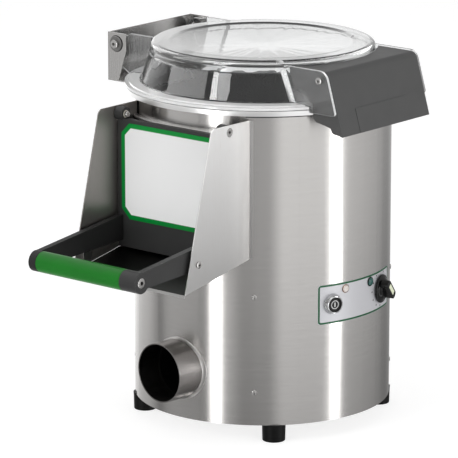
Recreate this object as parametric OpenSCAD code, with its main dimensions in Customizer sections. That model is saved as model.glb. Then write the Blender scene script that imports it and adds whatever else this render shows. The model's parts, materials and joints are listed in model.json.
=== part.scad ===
// Electric potato peeler: a steel drum on four feet with a hinged lid, a discharge chute with a
// lift-up door, a drain stub, and a belt-driven abrasive disc below the load.
// Millimetres. +Z is up, -Y is the front with the chute, +X is the side with the controls, and
// the lid's hinge is at -X. The origin is on the drum's axis, on the surface the feet stand on.
// An azimuth is an angle about the drum's axis, from the front (-Y) towards the controls (+X).

/* [Drum] */
// Outer radius of the drum
drum_r = 175; // [165:1:185]
// Sheet thickness of the drum
drum_wall = 1.5; // [1:0.1:2.5]
// Height of the drum's sheet
drum_h = 429; // [420:1:440]
// Number of curved sheets that the drum is welded from
sheet_count = 8; // [4:4:8]
// Azimuth of the first seam between two of its sheets
seam_azimuth = 10.5; // [9.8:0.1:11]
// Width of a seam
seam_w = 0.05; // [0.03:0.01:0.08]
// Azimuth of the first column of rivets
rivet_azimuth = 35.9; // [30:0.1:40]
// Number of columns of rivets
rivet_columns = 4; // [3:1:6]
// Radius of a rivet's shank
rivet_r = 1.9; // [1.5:0.1:2.4]
// Radius of a rivet's head
rivet_head_r = 3.4; // [3:0.1:4.5]
// Height of a rivet's head
rivet_head_h = 1.3; // [0.8:0.1:2]

/* [Feet and base] */
// Height of a foot
foot_h = 24; // [18:1:30]
// Radius of a foot
foot_r = 16.2; // [12:0.5:18]
// Distance between the axes of two neighbouring feet
foot_pitch = 228.8; // [215:0.2:235]
// Radius of the stud moulded into a foot
stud_r = 4; // [3:0.5:5]
// How far the stud stands above the base plate
stud_above = 10; // [8:1:16]
// Sheet thickness of the base plate
base_t = 2; // [1.5:0.1:3]
// Height of the base plate's skirt
base_skirt_h = 56; // [50:1:64]
// Height of the lower rivets above the drum's lower edge
base_rivet_h = 45.7; // [42:0.1:48]
// Number of air slots in the base plate
vent_count = 7; // [3:2:9]
// Width of an air slot
vent_w = 5; // [3:0.5:8]
// Length of an air slot
vent_l = 70; // [40:1:90]

/* [Rim] */
// How far the rim stands out past the drum
rim_over = 12; // [10:0.5:15]
// Sheet thickness of the rim
rim_t = 2; // [1.5:0.1:3]
// Height of the rim's outer band
rim_band_h = 7; // [5:0.5:9]
// How far the rim reaches in from the drum's outside, to its opening
rim_in = 7; // [5.5:0.5:8.5]
// Depth of the sleeve that the rim has inside the drum
rim_sleeve_h = 20; // [12:1:22]

/* [Lid] */
// Height of the lid above its underside
lid_h = 59; // [55:1:64]
// Wall thickness of the lid
lid_t = 3.2; // [2.5:0.1:4]
// Thickness of the outer edge of the lid's flange
lid_edge_t = 3.4; // [3:0.1:4.5]
// Distance from the rim's outer edge in to the step on the lid's flange
lid_step_in = 6; // [3:0.5:9]
// Distance from the rim's outer edge in to the foot of the lid's wall
lid_foot_in = 22.4; // [21:0.1:24]
// Distance from the rim's outer edge in to the shoulder of the lid's wall
lid_shoulder_in = 34.4; // [31:0.1:37]
// Height of the groove below the shoulder
lid_groove_h = 43; // [40:0.5:46]
// Radius of the rounding of the shoulder
lid_round_r = 8; // [6:0.5:10]
// Distance from the lid's shoulder in to the dish in the lid's top
lid_dish_in = 30.6; // [23:0.1:42]
// Depth of the dish in the lid's top
lid_dish_h = 7; // [4:0.5:10]
// Radius of the flat middle of the dish
lid_flat_r = 18; // [10:1:25]
// Depth of the lip that centres the lid in the rim
lid_lip_h = 7; // [4:0.5:9]
// Gap between the lip and the opening in the rim
lid_lip_gap = 1.5; // [1.2:0.1:2]
// Gap between the rim and the flange, which the seal fills
lid_gap = 0.8; // [0.6:0.1:1.5]
// Width of the seal
seal_w = 8; // [5:0.5:10]

/* [Lid hinge] */
// Distance from the drum's outside to the hinge axis
hinge_out = 12.6; // [11:0.2:15]
// Height of the hinge axis above the rim
hinge_h = 43; // [41:0.5:45]
// Outer width of the hinge bracket
bracket_w = 173.4; // [165:0.2:180]
// Sheet thickness of the hinge bracket
bracket_t = 2; // [1.5:0.1:3]
// Distance from the hinge axis to the outside of the bracket's back
bracket_back = 15.4; // [15.2:0.1:18]
// Height of the bracket above the hinge axis
bracket_above = 15; // [14:0.5:17]
// Width of the bracket's flange at its top
bracket_top_w = 33; // [30:0.5:36]
// Width of the bracket's flange at its foot
bracket_foot_w = 18.4; // [16:0.2:22]
// Height of the straight stretch of the flange's free edge
bracket_edge_h = 24; // [20:0.5:30]
// Thickness of a hinge ear of the lid
hinge_ear_t = 5; // [4:0.5:6]
// Radius of the round end of a hinge ear
hinge_ear_r = 12; // [10:0.5:12.5]
// Radius of a hinge bolt
hinge_bolt_r = 4; // [3:0.5:5]
// Radius of a hinge washer
hinge_washer_r = 10.7; // [8:0.1:11]
// Thickness of a hinge washer
hinge_washer_t = 2; // [1:0.1:2.2]

/* [Lid latch] */
// Distance between the outer faces of the lid's handle ears
ear_span = 197; // [190:0.5:200]
// Thickness of a handle ear
ear_t = 4; // [3:0.1:4.5]
// Height of the lid above the top edge of a handle ear
ear_drop = 5.8; // [4:0.1:7]
// Depth of a handle ear's lower edge below the lid's underside
ear_low = 4.3; // [3:0.1:5]
// Radius of the handle ear's upper corner
ear_round_r = 15; // [10:0.5:18]
// Radius of the handle ear's lower corner
ear_corner_r = 4; // [2:0.5:6]
// Distance from the rim's outer edge in to the latch's axis
latch_inset = 11; // [9:0.5:13]
// Height of the latch's axis above the rim
latch_h = 41; // [39:0.5:43]
// Distance from the latch's axis out to the handle's lower outer edge
latch_depth = 35.6; // [32:0.2:40]
// Depth of the handle's lower outer edge below the top of the rim
latch_drop = 30.3; // [26:0.1:34]
// Height of the lid above the top of the handle
latch_top_drop = 7.3; // [6:0.1:9]
// Lean of the handle's outer face
latch_lean = 16.4; // [14:0.1:18]
// Wall thickness of the handle
latch_t = 3.5; // [2.5:0.1:4.5]
// Radius of the fold between the handle's top and its outer face
latch_fold_r = 10; // [8:0.5:12]
// Gap between the handle and the lid
latch_gap = 2.8; // [2.5:0.1:3.5]
// Gap between the handle's side and a handle ear
latch_side_gap = 0.7; // [0.3:0.1:1]
// Width of the raised pad on the handle's outer face
pad_w = 112; // [90:1:130]
// Height of the raised pad
pad_h = 33; // [25:1:38]
// How far the pad stands out of the handle's face
pad_t = 0.6; // [0.4:0.1:1]
// Width of the lid's sensor
sensor_w = 28; // [20:1:32]
// Height of the lid's sensor
sensor_h = 16; // [12:1:20]
// Depth of the lid's sensor
sensor_d = 10.7; // [8:0.1:12]
// Width of the magnet in the handle
magnet_w = 20; // [12:1:26]
// Height of the magnet in the handle
magnet_h = 12; // [8:1:16]
// Thickness of the magnet in the handle
magnet_t = 4; // [3:0.5:5]
// Radius of a latch screw
latch_screw_r = 2.5; // [2:0.1:3]

/* [Chute] */
// Distance between the chute's walls
chute_w = 194; // [190:1:198]
// Sheet thickness of the chute
chute_t = 1.5; // [1:0.1:2.5]
// Distance from the drum's axis to the chute's front edge
chute_reach = 277; // [270:1:284]
// Distance from the drum's axis to the front of the walls' top edge
chute_top_reach = 223.5; // [216:0.5:230]
// Slope of the chute's floor
chute_slope = 10.2; // [8:0.1:11]
// Depth of the walls' top edge below the drum's upper edge
chute_top_drop = 12; // [10:0.5:14]
// Depth of the collar above the door
collar_depth = 8; // [6:0.2:8.6]
// Thickness of the collar
collar_t = 4; // [3:0.5:6]
// Depth of the collar's top below the drum's upper edge
collar_drop = 29; // [28:0.5:31]
// Distance from a wall of the chute to the window in the drum
window_inset = 13; // [12:0.5:16]
// Depth of the window's upper edge below the drum's upper edge
window_drop = 37; // [36:0.5:44]
// Height of the window's sill above the underside of the chamber's floor
sill_h = 40; // [38:0.5:44]
// Radius of a chute screw
chute_screw_r = 2.5; // [2:0.1:3]
// Distance from the drum's axis to the chute screws
chute_screw_y = 250.5; // [246:0.5:256]
// Height of the chute screws above the floor of the chute
chute_screw_h = 31; // [26:0.5:32]

/* [Door] */
// Gap between the door and a wall of the chute
door_side_gap = 4.5; // [3.5:0.5:6]
// Thickness of the door
door_t = 8; // [6:0.5:9]
// Gap between the drum's front and the back of the door
door_gap = 9; // [8.5:0.1:11]
// Distance from the back of the door to the door's axis
pivot_y = 3; // [2:0.2:4]
// Depth of the door's axis below the drum's upper edge
pivot_drop = 21.6; // [21:0.1:22.2]
// Radius of the door's hubs
hub_r = 9.2; // [8:0.1:9.6]
// Length of the door's hubs
hub_l = 14.5; // [12:0.5:16]
// Gap between a hub and the chute's wall
hub_gap = 1; // [0.8:0.1:1.5]
// Depth of the door's top edge below its axis
door_top_drop = 5.7; // [5:0.1:8]
// Gap between the door and the chute's floor
door_floor_gap = 3; // [2:0.1:5]
// Radius of the door's pivot screws
pivot_screw_r = 3; // [2.5:0.1:3.5]
// Wall thickness of the door's bushes
bush_t = 2; // [1.5:0.1:2.5]
// Thickness of the seal around the door frame's window
door_seal_t = 3.7; // [3:0.1:4]
// Sheet thickness of the door frame
frame_t = 2; // [1.5:0.1:2.5]
// Width of the seal around the door frame's window
door_seal_w = 6; // [4:0.5:7]
// Distance from the side of the drum's window to the side of the door frame's window
frame_inset = 7; // [5:0.5:9]
// Depth of the upper edge of the door frame's window below the drum's window
frame_drop = 8; // [6:0.5:18]
// Thickness of the door's sensor
door_sensor_t = 6.5; // [5:0.5:7]
// Depth of the door's sensor
door_sensor_d = 10; // [8:0.5:12]
// Height of the door's sensor
door_sensor_h = 24; // [16:1:40]
// Thickness of the door's arms
arm_t = 9; // [7:0.5:10]
// Distance from the drum's axis to the grip's axis
grip_y = 355; // [345:1:365]
// Height of the grip's axis above the sill
grip_h = 7.8; // [4:0.1:12]
// Radius of the arms' round ends
arm_end_r = 14; // [12:0.5:16]
// Height of the arms' lower edge above the sill, at the door
arm_root_low = 6; // [4:0.5:10]
// Height of the arms' upper edge above the sill, at the door
arm_root_high = 40; // [36:0.5:46]
// Radius of the coloured grip
grip_r = 14.1; // [12:0.1:16]
// Length of the boss that holds the grip, on the left arm
boss_left_l = 3; // [2:0.5:10]
// Length of the boss that holds the grip, on the right arm
boss_right_l = 18.3; // [3:0.1:22]
// Radius of the rod inside the grip
grip_rod_r = 7; // [6:0.5:9]
// Radius of a grip screw
grip_screw_r = 4; // [3:0.5:5]
// Radius of a grip screw's head
grip_head_r = 6.75; // [5.5:0.25:8]
// Height of a grip screw's head
grip_head_h = 4; // [3:0.5:5]
// Distance from the door's side to the plate on it
label_inset = 7.5; // [4:0.5:16]
// Height of the plate's lower edge above the sill
label_rise = 35.7; // [33:0.1:46]
// Depth of the plate's upper edge below the door's top edge
label_drop = 5; // [3:0.5:8]
// Cut of the plate's corners
label_cut = 14; // [8:0.5:18]
// Thickness of the plate on the door
label_t = 0.8; // [0.5:0.1:1.5]

/* [Drain] */
// Outer radius of the drain pipe
drain_r = 40.5; // [38:0.5:42]
// Wall thickness of the drain pipe
drain_wall = 1.5; // [1:0.1:2.5]
// Height of the drain's axis above the drum's lower edge
drain_h = 68; // [66:1:72]
// Turn of the drain's axis away from the front
drain_yaw = 5.4; // [0:0.1:8]
// Distance by which the drain's axis misses the drum's axis
drain_offset = 15; // [8:0.5:18]
// Distance from the drum's axis to the drain's mouth, along the drain
drain_reach = 210.5; // [200:0.5:220]
// Distance from the drum's axis to the floor's drain hole, along the drain
drain_hole_y = 112; // [110:1:116]
// Bend radius of the elbow
elbow_bend = 45; // [43:1:46]
// Wall thickness of the elbow
elbow_wall = 2; // [1.5:0.1:3]
// Length of the spigot below the chamber's floor
spigot_h = 16; // [12:1:22]

/* [Chamber] */
// Height of the drive's space, from the drum's lower edge to the chamber's floor
room_h = 190; // [188:1:192]
// Sheet thickness of the chamber's floor
floor_t = 2; // [1.5:0.1:3]
// Height of the floor's skirt
floor_skirt_h = 22; // [18:1:26]
// Depth of the upper rivets below the chamber's floor
floor_rivet_drop = 13; // [11:0.5:14]
// Thickness of the abrasive liner
liner_t = 8.5; // [6:0.5:9]
// Gap between the disc and the liner
disc_side_gap = 6.7; // [5.5:0.1:14]
// Thickness of the disc
disc_t = 8; // [6:0.5:10]
// Gap between the chamber's floor and the disc
disc_gap = 20; // [18:0.5:22]
// Thickness of the disc's abrasive coat
grit_t = 3; // [2:0.5:4]
// Number of waves on the disc
wave_count = 3; // [2:1:4]
// Radius of a wave's round back
wave_r = 16; // [12:1:20]
// Height of a wave above the abrasive coat
wave_h = 4; // [2:0.5:4.5]
// Radius of the disc's hub
disc_hub_r = 32; // [28:1:36]
// Depth of the disc's hub below the disc
disc_hub_h = 10; // [8:0.5:11]
// Depth of the blades below the disc
blade_h = 13; // [8:0.5:14]

/* [Drive] */
// Radius of the main shaft
shaft_r = 10; // [8:0.5:12]
// Outer radius of a shaft bearing
bearing_r = 23.5; // [21:0.5:25]
// Width of a shaft bearing
bearing_w = 14; // [12:0.5:15]
// Wall thickness of the bearing housing
housing_wall = 6.5; // [5:0.5:8]
// Radius of the bearing housing's flange
housing_flange_r = 50; // [44:1:56]
// Length of the bearing housing below the chamber's floor
housing_h = 40; // [38:1:41]
// Length of the housing's neck above the underside of the chamber's floor
neck_h = 9; // [8:0.5:10]
// Radius of the belt's track on the driven pulley
pulley_r = 66; // [60:0.5:68]
// Radius of the belt's track on the motor's pulley
motor_pulley_r = 16.5; // [15:0.5:18]
// Height of a pulley's flange
pulley_lip = 3; // [2:0.5:4]
// Width of the belt
belt_w = 14; // [10:0.5:16]
// Thickness of the belt
belt_t = 4; // [3:0.5:5]
// Depth of the belt's middle below the chamber's floor
belt_drop = 53; // [52:0.5:54]
// Distance from the main shaft to the motor's shaft
motor_y = 98; // [94:1:100]
// Radius of the motor
motor_r = 60; // [55:1:64]
// Height of the motor
motor_h = 108; // [98:1:112]
// Number of cooling fins on the motor
fin_count = 12; // [8:4:24]
// Height of a cooling fin
fin_h = 4; // [2:0.5:4]
// Thickness of a cooling fin
fin_t = 3; // [2:0.5:4]
// Radius of the motor's shaft
motor_shaft_r = 7; // [6:0.5:8]
// Radius of the motor's rotor
rotor_r = 30; // [26:1:34]
// Thickness of the motor's plate
mount_t = 4; // [3:0.5:4]
// Distance from the middle to the front pillars of the motor's plate
pillar_x = 66; // [64:1:70]
// Distance from the motor's shaft to the front pillars
pillar_front = 46; // [44:1:48]
// Distance from the motor's shaft to the back pillars
pillar_back = 52; // [48:1:54]
// Radius of a pillar of the motor's plate
pillar_r = 6; // [5:0.5:7]

/* [Controls] */
// Height of the control plate's middle above the drum's lower edge
panel_h = 161.5; // [158:0.5:162]
// Height of the control plate
panel_z_size = 54; // [50:0.5:56]
// Width of the control plate, measured straight across
panel_y_size = 149.2; // [140:0.2:152]
// Place of the control plate's middle, towards the front where it is negative
panel_mid_y = -1.5; // [-3:0.1:1]
// Radius of the control plate's corners
panel_corner_r = 3; // [2:0.5:5]
// Thickness of the control plate
panel_t = 0.5; // [0.3:0.1:1]
// Azimuth of the start button
start_azimuth = 71.6; // [70:0.1:72.5]
// Radius of the start button's bezel
bezel_r = 14; // [13:0.1:15]
// How far the bezel stands out of the drum
bezel_out = 8; // [6:0.1:9]
// Radius of the start button's cap
cap_r = 10; // [9:0.1:10.2]
// Travel of the start button
start_travel = 3.5; // [2:0.1:4]
// Azimuth of the mains lamp
mains_azimuth = 78.6; // [78:0.1:79.5]
// Radius of the mains lamp
mains_r = 4.8; // [4:0.1:5.5]
// Azimuth of the run lamp
run_azimuth = 94.9; // [94:0.1:96]
// Radius of the run lamp
run_r = 5.5; // [4.5:0.1:6]
// Height of the lamps above the plate's middle
lamp_h = 17.8; // [15:0.1:18]
// Azimuth of the timer
timer_azimuth = 104.4; // [101:0.1:106]
// Height of the timer above the plate's middle
timer_h = 1.6; // [0:0.1:4]
// Radius of the timer's knob
knob_r = 19.5; // [17:0.1:20]
// How far the knob stands out of the drum
knob_out = 18.2; // [17:0.1:24]
// Width of the knob's grip bar
knob_bar_w = 12; // [8:0.5:14]
// Half of the length of the knob's grip bar
knob_bar_r = 13.5; // [11:0.5:16]
// Turn of the grip bar away from upright, with the timer at zero
knob_turn = 44; // [0:1:60]
// Radius of the timer's works
timer_r = 22; // [18:1:23]
// Length of the timer's works
timer_l = 33; // [24:1:40]
// Radius of the timer's spindle
spindle_r = 3; // [2.5:0.1:3.5]

/* [Services] */
// Length of the relay box
relay_l = 68; // [50:1:80]
// Depth of the relay box
relay_d = 50; // [40:1:54]
// Height of the relay box
relay_h = 62; // [40:1:70]
// Gap between the relay box and the base plate's skirt
relay_gap = 16; // [14:1:20]
// Azimuth of the cable gland
gland_azimuth = 210; // [205:1:213]
// Height of the cable gland above the drum's lower edge
gland_h = 30; // [26:1:32]
// Radius of the cable gland's thread
gland_r = 10; // [8:0.5:11]
// Radius of the cable gland's bore
gland_bore_r = 5; // [4:0.25:6]
// Azimuth of the water inlet
inlet_azimuth = 180; // [160:1:200]
// Depth of the water inlet below the drum's upper edge
inlet_drop = 58; // [50:1:64]
// Radius of the water inlet's stem
inlet_r = 8; // [6:0.5:9]
// Radius of the water inlet's bore
inlet_bore_r = 5; // [4:0.25:5.5]
// Length of the water inlet's stem outside its flange
inlet_l = 25; // [20:1:30]

/* [Fits] */
// Radial gap between a shaft or pin and the bore it turns or slides in
run_gap = 0.05; // [0.03:0.01:0.08]
// Gap between a piece and the sheet or seat beside it
seat_gap = 0.3; // [0.2:0.05:0.4]
// Radial gap of a hole around a fastener
hole_gap = 0.2; // [0.1:0.05:0.4]

/* [Hidden] */
$fn = 96;
shell_top = foot_h + drum_h;
drum_bore_r = drum_r - drum_wall;
pan_r = drum_bore_r - seat_gap;
floor_z = foot_h + room_h;
floor_top = floor_z + floor_t;
rim_top = shell_top + rim_t;
rim_r = drum_r + rim_over;
rim_bore_r = drum_r - rim_in;
lid_step_r = rim_r - lid_step_in;
lid_foot_r = rim_r - lid_foot_in;
lid_shoulder_r = rim_r - lid_shoulder_in;
lid_dish_r = lid_shoulder_r - lid_dish_in;
hinge_x = drum_r + hinge_out;
collar_r = drum_r + collar_depth;
disc_r = pan_r - liner_t - disc_side_gap;
lid_z = rim_top + lid_gap;
lid_top = lid_z + lid_h;
hinge_z = rim_top + hinge_h;
latch_z = rim_top + latch_h;
sill_z = floor_z + sill_h;
window_top = shell_top - window_drop;
wall_back_y = sqrt(pow(drum_r, 2) - pow(chute_w / 2, 2)) + seat_gap;
latch_x = rim_r - latch_inset;
latch_reach = latch_x + latch_depth;
window_w = chute_w - 2 * window_inset;
frame_window_w = window_w - 2 * frame_inset;
door_w = chute_w - 2 * door_side_gap;
label_w = door_w - 2 * label_inset;
grip_left = door_w / 2 - arm_t - boss_left_l;
grip_right = door_w / 2 - arm_t - boss_right_l;
door_back = drum_r + door_gap;
door_front = door_back + door_t;
door_y = door_back + pivot_y;
door_z = shell_top - pivot_drop;
door_top = door_z - door_top_drop;
door_low = chute_z(door_back) + door_floor_gap;
grip_z = sill_z + grip_h;
drain_z = foot_h + drain_h;
neck_r = drain_r - 0.6;
elbow_r = drain_r - drain_wall - seat_gap;
disc_z = floor_top + disc_gap;
grit_z = disc_z + disc_t;
disc_top = grit_z + grit_t;
housing_r = bearing_r + housing_wall;
belt_z = floor_z - belt_drop;
motor_top = belt_z - belt_w / 2 - 3 - pulley_lip - mount_t;
panel_z = foot_h + panel_h;
panel_r = drum_r + panel_t;
face_r = panel_r + 0.1;
ear_in = ear_span / 2 - ear_t;
latch_side = ear_in - latch_side_gap;
// Distance of the handle's outer face from the origin, along the face's normal
face_d = latch_reach * cos(latch_lean) + (rim_top - latch_drop) * sin(latch_lean);
hinge_ear_out = bracket_w / 2 - bracket_t - hinge_washer_t - 2 * run_gap;
pan_gap_r = pan_r - base_t;
barrel_r = cap_r + run_gap + 0.9;
timer_neck_r = spindle_r + 2;
lid_flange_z = lid_z + 5.8;
lip_r = rim_bore_r - lid_lip_gap;
seal_in_r = rim_bore_r + 3;
hinge_ear_in = hinge_ear_out - hinge_ear_t;
frame_y = door_back - seat_gap - door_seal_t;
frame_low = sill_z + 4;
frame_window_h = window_top - frame_drop - frame_low;
cheek_x = window_w / 2 + chute_t;
magnet_x = cheek_x + 2.5;
magnet_z = sill_z + 76;
bush_r = pivot_screw_r + run_gap + bush_t;
pivot_head_r = 2 * pivot_screw_r;
neck_out_r = bearing_r + 3;
pulley_low = belt_z - belt_w / 2 - 1 - pulley_lip;
pulley_high = belt_z + belt_w / 2 + 1 + pulley_lip;

// Height of the chute's floor at a distance y in front of the drum's axis
function chute_z(y) = sill_z - (y - wall_back_y) * tan(chute_slope);

// Points along an arc about [cx, cy], from angle a0 to angle a1
function arc(cx, cy, r, a0, a1, n = 8) = [
  for (i = [0:n])
    let (a = a0 + (a1 - a0) * i / n)
    [cx + r * cos(a), cy + r * sin(a)]
];

// Point where a line from p touches the circle of radius r about c, on the chosen side
function touch(c, r, p, side) =
  let (d = p - c, a = atan2(d[1], d[0]) + side * acos(r / norm(d)))
  c + r * [cos(a), sin(a)];

// X of a plane parallel to the handle's outer face, at the height z
function lean_x(d, z) = (d - z * sin(latch_lean)) / cos(latch_lean);

module tube(r_out, r_in, z0, z1) {
  translate([0, 0, z0]) difference() {
    cylinder(r = r_out, h = z1 - z0);
    translate([0, 0, -1]) cylinder(r = r_in, h = z1 - z0 + 2);
  }
}

module rod_x(x0, x1, r) {
  translate([x0, 0, 0]) rotate([0, 90, 0]) cylinder(r = r, h = x1 - x0);
}

module rod_y(y0, y1, r) {
  translate([0, y1, 0]) rotate([90, 0, 0]) cylinder(r = r, h = y1 - y0);
}

module rod_z(z0, z1, r) {
  translate([0, 0, z0]) cylinder(r = r, h = z1 - z0);
}

// Extrudes a drawing in [y, z] from x0 to x1
module plate_x(x0, x1) {
  translate([x0, 0, 0]) rotate([90, 0, 90]) linear_extrude(x1 - x0) children();
}

// Extrudes a drawing in [x, z] from y0 to y1
module plate_y(y0, y1) {
  translate([0, y1, 0]) rotate([90, 0, 0]) linear_extrude(y1 - y0) children();
}

module block(x0, x1, y0, y1, z0, z1) {
  translate([x0, y0, z0]) cube([x1 - x0, y1 - y0, z1 - z0]);
}

module both_x() {
  children();
  mirror([1, 0, 0]) children();
}

module both_y() {
  children();
  mirror([0, 1, 0]) children();
}

// Child's z is the distance from the drum's axis, and its y points up
module radial(azimuth, z) {
  rotate([0, 0, azimuth]) translate([0, 0, z]) rotate([90, 0, 0]) children();
}

// Child's -y points out of the drum along the drain
module drain_frame() {
  rotate([0, 0, -drain_yaw]) translate([drain_offset, 0, drain_z]) children();
}

// Child's x is the normal of the handle's outer face, and its z points up along that face
module lean_frame() {
  translate([latch_reach, 0, rim_top - latch_drop]) rotate([0, -latch_lean, 0]) children();
}

module round_rect(w, h, r) {
  square([w - 2 * r, h], center = true);
  square([w, h - 2 * r], center = true);
  for (x = [-1, 1], y = [-1, 1]) translate([x * (w / 2 - r), y * (h / 2 - r)]) circle(r);
}

// A coil of wire along +z from 0 to l, with flat ends
module coil(r, wire_r, l, turns, sides = 8, steps = 12) {
  n = ceil(turns * steps);
  points = [
    for (i = [0:n], j = [0:sides - 1])
      let (a = 360 * turns * i / n, b = 360 * j / sides, q = r + wire_r * cos(b))
      [q * cos(a), q * sin(a), wire_r + (l - 2 * wire_r) * i / n + wire_r * sin(b)]
  ];
  skin = [
    for (i = [0:n - 1], j = [0:sides - 1])
      let (k = (j + 1) % sides)
      [i * sides + j, i * sides + k, (i + 1) * sides + k, (i + 1) * sides + j]
  ];
  start_cap_face = [[for (j = [sides - 1:-1:0]) j]];
  end_cap_face = [[for (j = [0:sides - 1]) n * sides + j]];
  polyhedron(points, concat(skin, start_cap_face, end_cap_face));
}

module feet_places() {
  for (x = [-1, 1], y = [-1, 1]) translate([x * foot_pitch / 2, y * foot_pitch / 2, 0]) children();
}

module rivet_places(z) {
  for (i = [0:rivet_columns - 1]) radial(rivet_azimuth + i * 360 / rivet_columns, z) children();
}

module rivet_holes(z) {
  rivet_places(z) rod_z(pan_gap_r - 5, drum_r + 5, rivet_r + hole_gap);
}

// ---- Body ----

module outer_shell() {
  color("silver") difference() {
    tube(drum_r, drum_bore_r, foot_h, shell_top);
    block(-window_w / 2, window_w / 2, -drum_r - 1, -drum_r + 45, sill_z, window_top);
    drain_frame() rod_y(-drum_r - 20, -drum_r + 45, neck_r + hole_gap);
    rivet_holes(foot_h + base_rivet_h);
    rivet_holes(floor_z - floor_rivet_drop);
    control_holes();
    radial(gland_azimuth, foot_h + gland_h) rod_z(drum_r - 20, drum_r + 5, gland_r + hole_gap);
    radial(inlet_azimuth, shell_top - inlet_drop) rod_z(drum_r - 20, drum_r + 5, inlet_r + hole_gap);
    for (i = [0:sheet_count - 1]) rotate([0, 0, seam_azimuth + i * 360 / sheet_count])
      block(-seam_w / 2, seam_w / 2, -drum_r - 1, -drum_r + 5, foot_h - 1, shell_top + 1);
  }
}

module control_holes() {
  radial(start_azimuth, panel_z) rod_z(drum_r - 20, drum_r + 5, barrel_r + hole_gap);
  radial(mains_azimuth, panel_z + lamp_h) rod_z(drum_r - 20, drum_r + 5, mains_r - 1 + hole_gap);
  radial(run_azimuth, panel_z + lamp_h) rod_z(drum_r - 20, drum_r + 5, run_r - 1 + hole_gap);
  radial(timer_azimuth, panel_z + timer_h) rod_z(drum_r - 20, drum_r + 5, timer_neck_r + hole_gap);
}

module rim_ring() {
  low = rim_top - rim_band_h;
  color("gainsboro") rotate_extrude() polygon([
    [rim_bore_r, shell_top], [rim_bore_r, rim_top], [rim_r - 0.6, rim_top], [rim_r, rim_top - 0.6],
    [rim_r, low], [rim_r - rim_t, low], [rim_r - rim_t, shell_top], [pan_r, shell_top],
    [pan_r, shell_top - rim_sleeve_h], [pan_r - rim_t, shell_top - rim_sleeve_h],
    [pan_r - rim_t, shell_top]
  ]);
}

module base_plate() {
  color("darkgray") difference() {
    union() {
      rod_z(foot_h, foot_h + base_t, pan_r);
      tube(pan_r, pan_gap_r, foot_h, foot_h + base_skirt_h);
    }
    feet_places() rod_z(foot_h - 1, foot_h + base_t + 1, stud_r + hole_gap);
    for (i = [0:vent_count - 1])
      translate([0, (i - (vent_count - 1) / 2) * 3 * vent_w, foot_h + base_t / 2])
        cube([vent_l, vent_w, base_t + 2], center = true);
    rivet_holes(foot_h + base_rivet_h);
    radial(gland_azimuth, foot_h + gland_h) rod_z(drum_r - 20, drum_r + 5, gland_r + hole_gap);
    drain_frame() rod_y(-drum_r - 20, -drum_r + 45, neck_r + 1);
  }
}

module rivet() {
  rod_z(pan_gap_r - 1.2, pan_gap_r - 0.2, rivet_r + 0.7);
  rod_z(pan_gap_r - 0.3, drum_r + 0.3, rivet_r);
  rotate_extrude() polygon(concat(
    [[0, drum_r + run_gap], [rivet_head_r, drum_r + run_gap]],
    [for (a = [10:20:90]) [rivet_head_r * cos(a), drum_r + run_gap + rivet_head_h * sin(a)]]
  ));
}

module shell_rivets() {
  color("silver") {
    rivet_places(foot_h + base_rivet_h) rivet();
    rivet_places(floor_z - floor_rivet_drop) rivet();
  }
}

module rubber_feet() {
  color("black") feet_places() {
    rotate_extrude() polygon([
      [0, 0], [foot_r - 0.4, 0], [foot_r, 0.4], [foot_r, foot_h], [stud_r, foot_h],
      [stud_r, foot_h + base_t + stud_above], [0, foot_h + base_t + stud_above]
    ]);
  }
}

module foot_nuts() {
  color("silver") feet_places() difference() {
    translate([0, 0, foot_h + base_t]) cylinder(r = stud_r + 3.5, h = stud_above - 3.5, $fn = 6);
    rod_z(foot_h, foot_h + base_t + stud_above, stud_r + run_gap);
  }
}

// ---- Lid and hinge ----

module hinge_bracket() {
  low = rim_top - rim_band_h - seat_gap - bracket_t;
  top = hinge_z + bracket_above;
  back = -hinge_x - bracket_back;
  half = bracket_w / 2;
  color("silver") difference() {
    union() {
      block(back, back + bracket_t, -half, half, low, top);
      both_y() plate_y(half - bracket_t, half) polygon([
        [back, low], [back, top], [back + bracket_top_w, top],
        [back + bracket_top_w, top - bracket_edge_h], [back + bracket_foot_w, low]
      ]);
      difference() {
        block(back, -drum_r * 0.8, -half, half, low, low + bracket_t);
        rod_z(low - 1, low + bracket_t + 1, drum_r + seat_gap);
      }
    }
    translate([-hinge_x, 0, hinge_z]) rod_y(-half - 1, half + 1, hinge_bolt_r + hole_gap);
  }
}

module hinge_bolts() {
  flange = bracket_w / 2;
  washer_in = flange - bracket_t - run_gap;
  color("gainsboro") both_y() translate([-hinge_x, 0, hinge_z]) {
    rod_y(flange + hinge_washer_t + run_gap, flange + hinge_washer_t + 4, 1.5 * hinge_bolt_r);
    rod_y(hinge_ear_in - 8, flange + hinge_washer_t + 1, hinge_bolt_r);
    difference() {
      union() {
        rod_y(flange + run_gap, flange + hinge_washer_t, hinge_washer_r);
        rod_y(washer_in - hinge_washer_t, washer_in, hinge_washer_r);
        rod_y(hinge_ear_in - 7, hinge_ear_in - seat_gap, 1.6 * hinge_bolt_r);
      }
      rod_y(hinge_ear_in - 9, flange + 5, hinge_bolt_r + run_gap);
    }
  }
}

lid_outer = concat(
  [
    [rim_r, lid_z], [rim_r, lid_z + lid_edge_t], [lid_step_r + 1, lid_z + lid_edge_t + 0.4],
    [lid_step_r, lid_flange_z - 0.6], [lid_foot_r + 2.4, lid_flange_z],
    [lid_foot_r, lid_flange_z + 1.4], [lid_shoulder_r + 1, lid_z + lid_groove_h - 1.3],
    [lid_shoulder_r - 0.8, lid_z + lid_groove_h]
  ],
  arc(lid_shoulder_r - lid_round_r, lid_top - lid_round_r, lid_round_r, -30, 90),
  [
    [lid_dish_r + 4, lid_top], [lid_dish_r, lid_top - 2],
    [lid_flat_r, lid_top - lid_dish_h], [0, lid_top - lid_dish_h]
  ]
);

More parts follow.
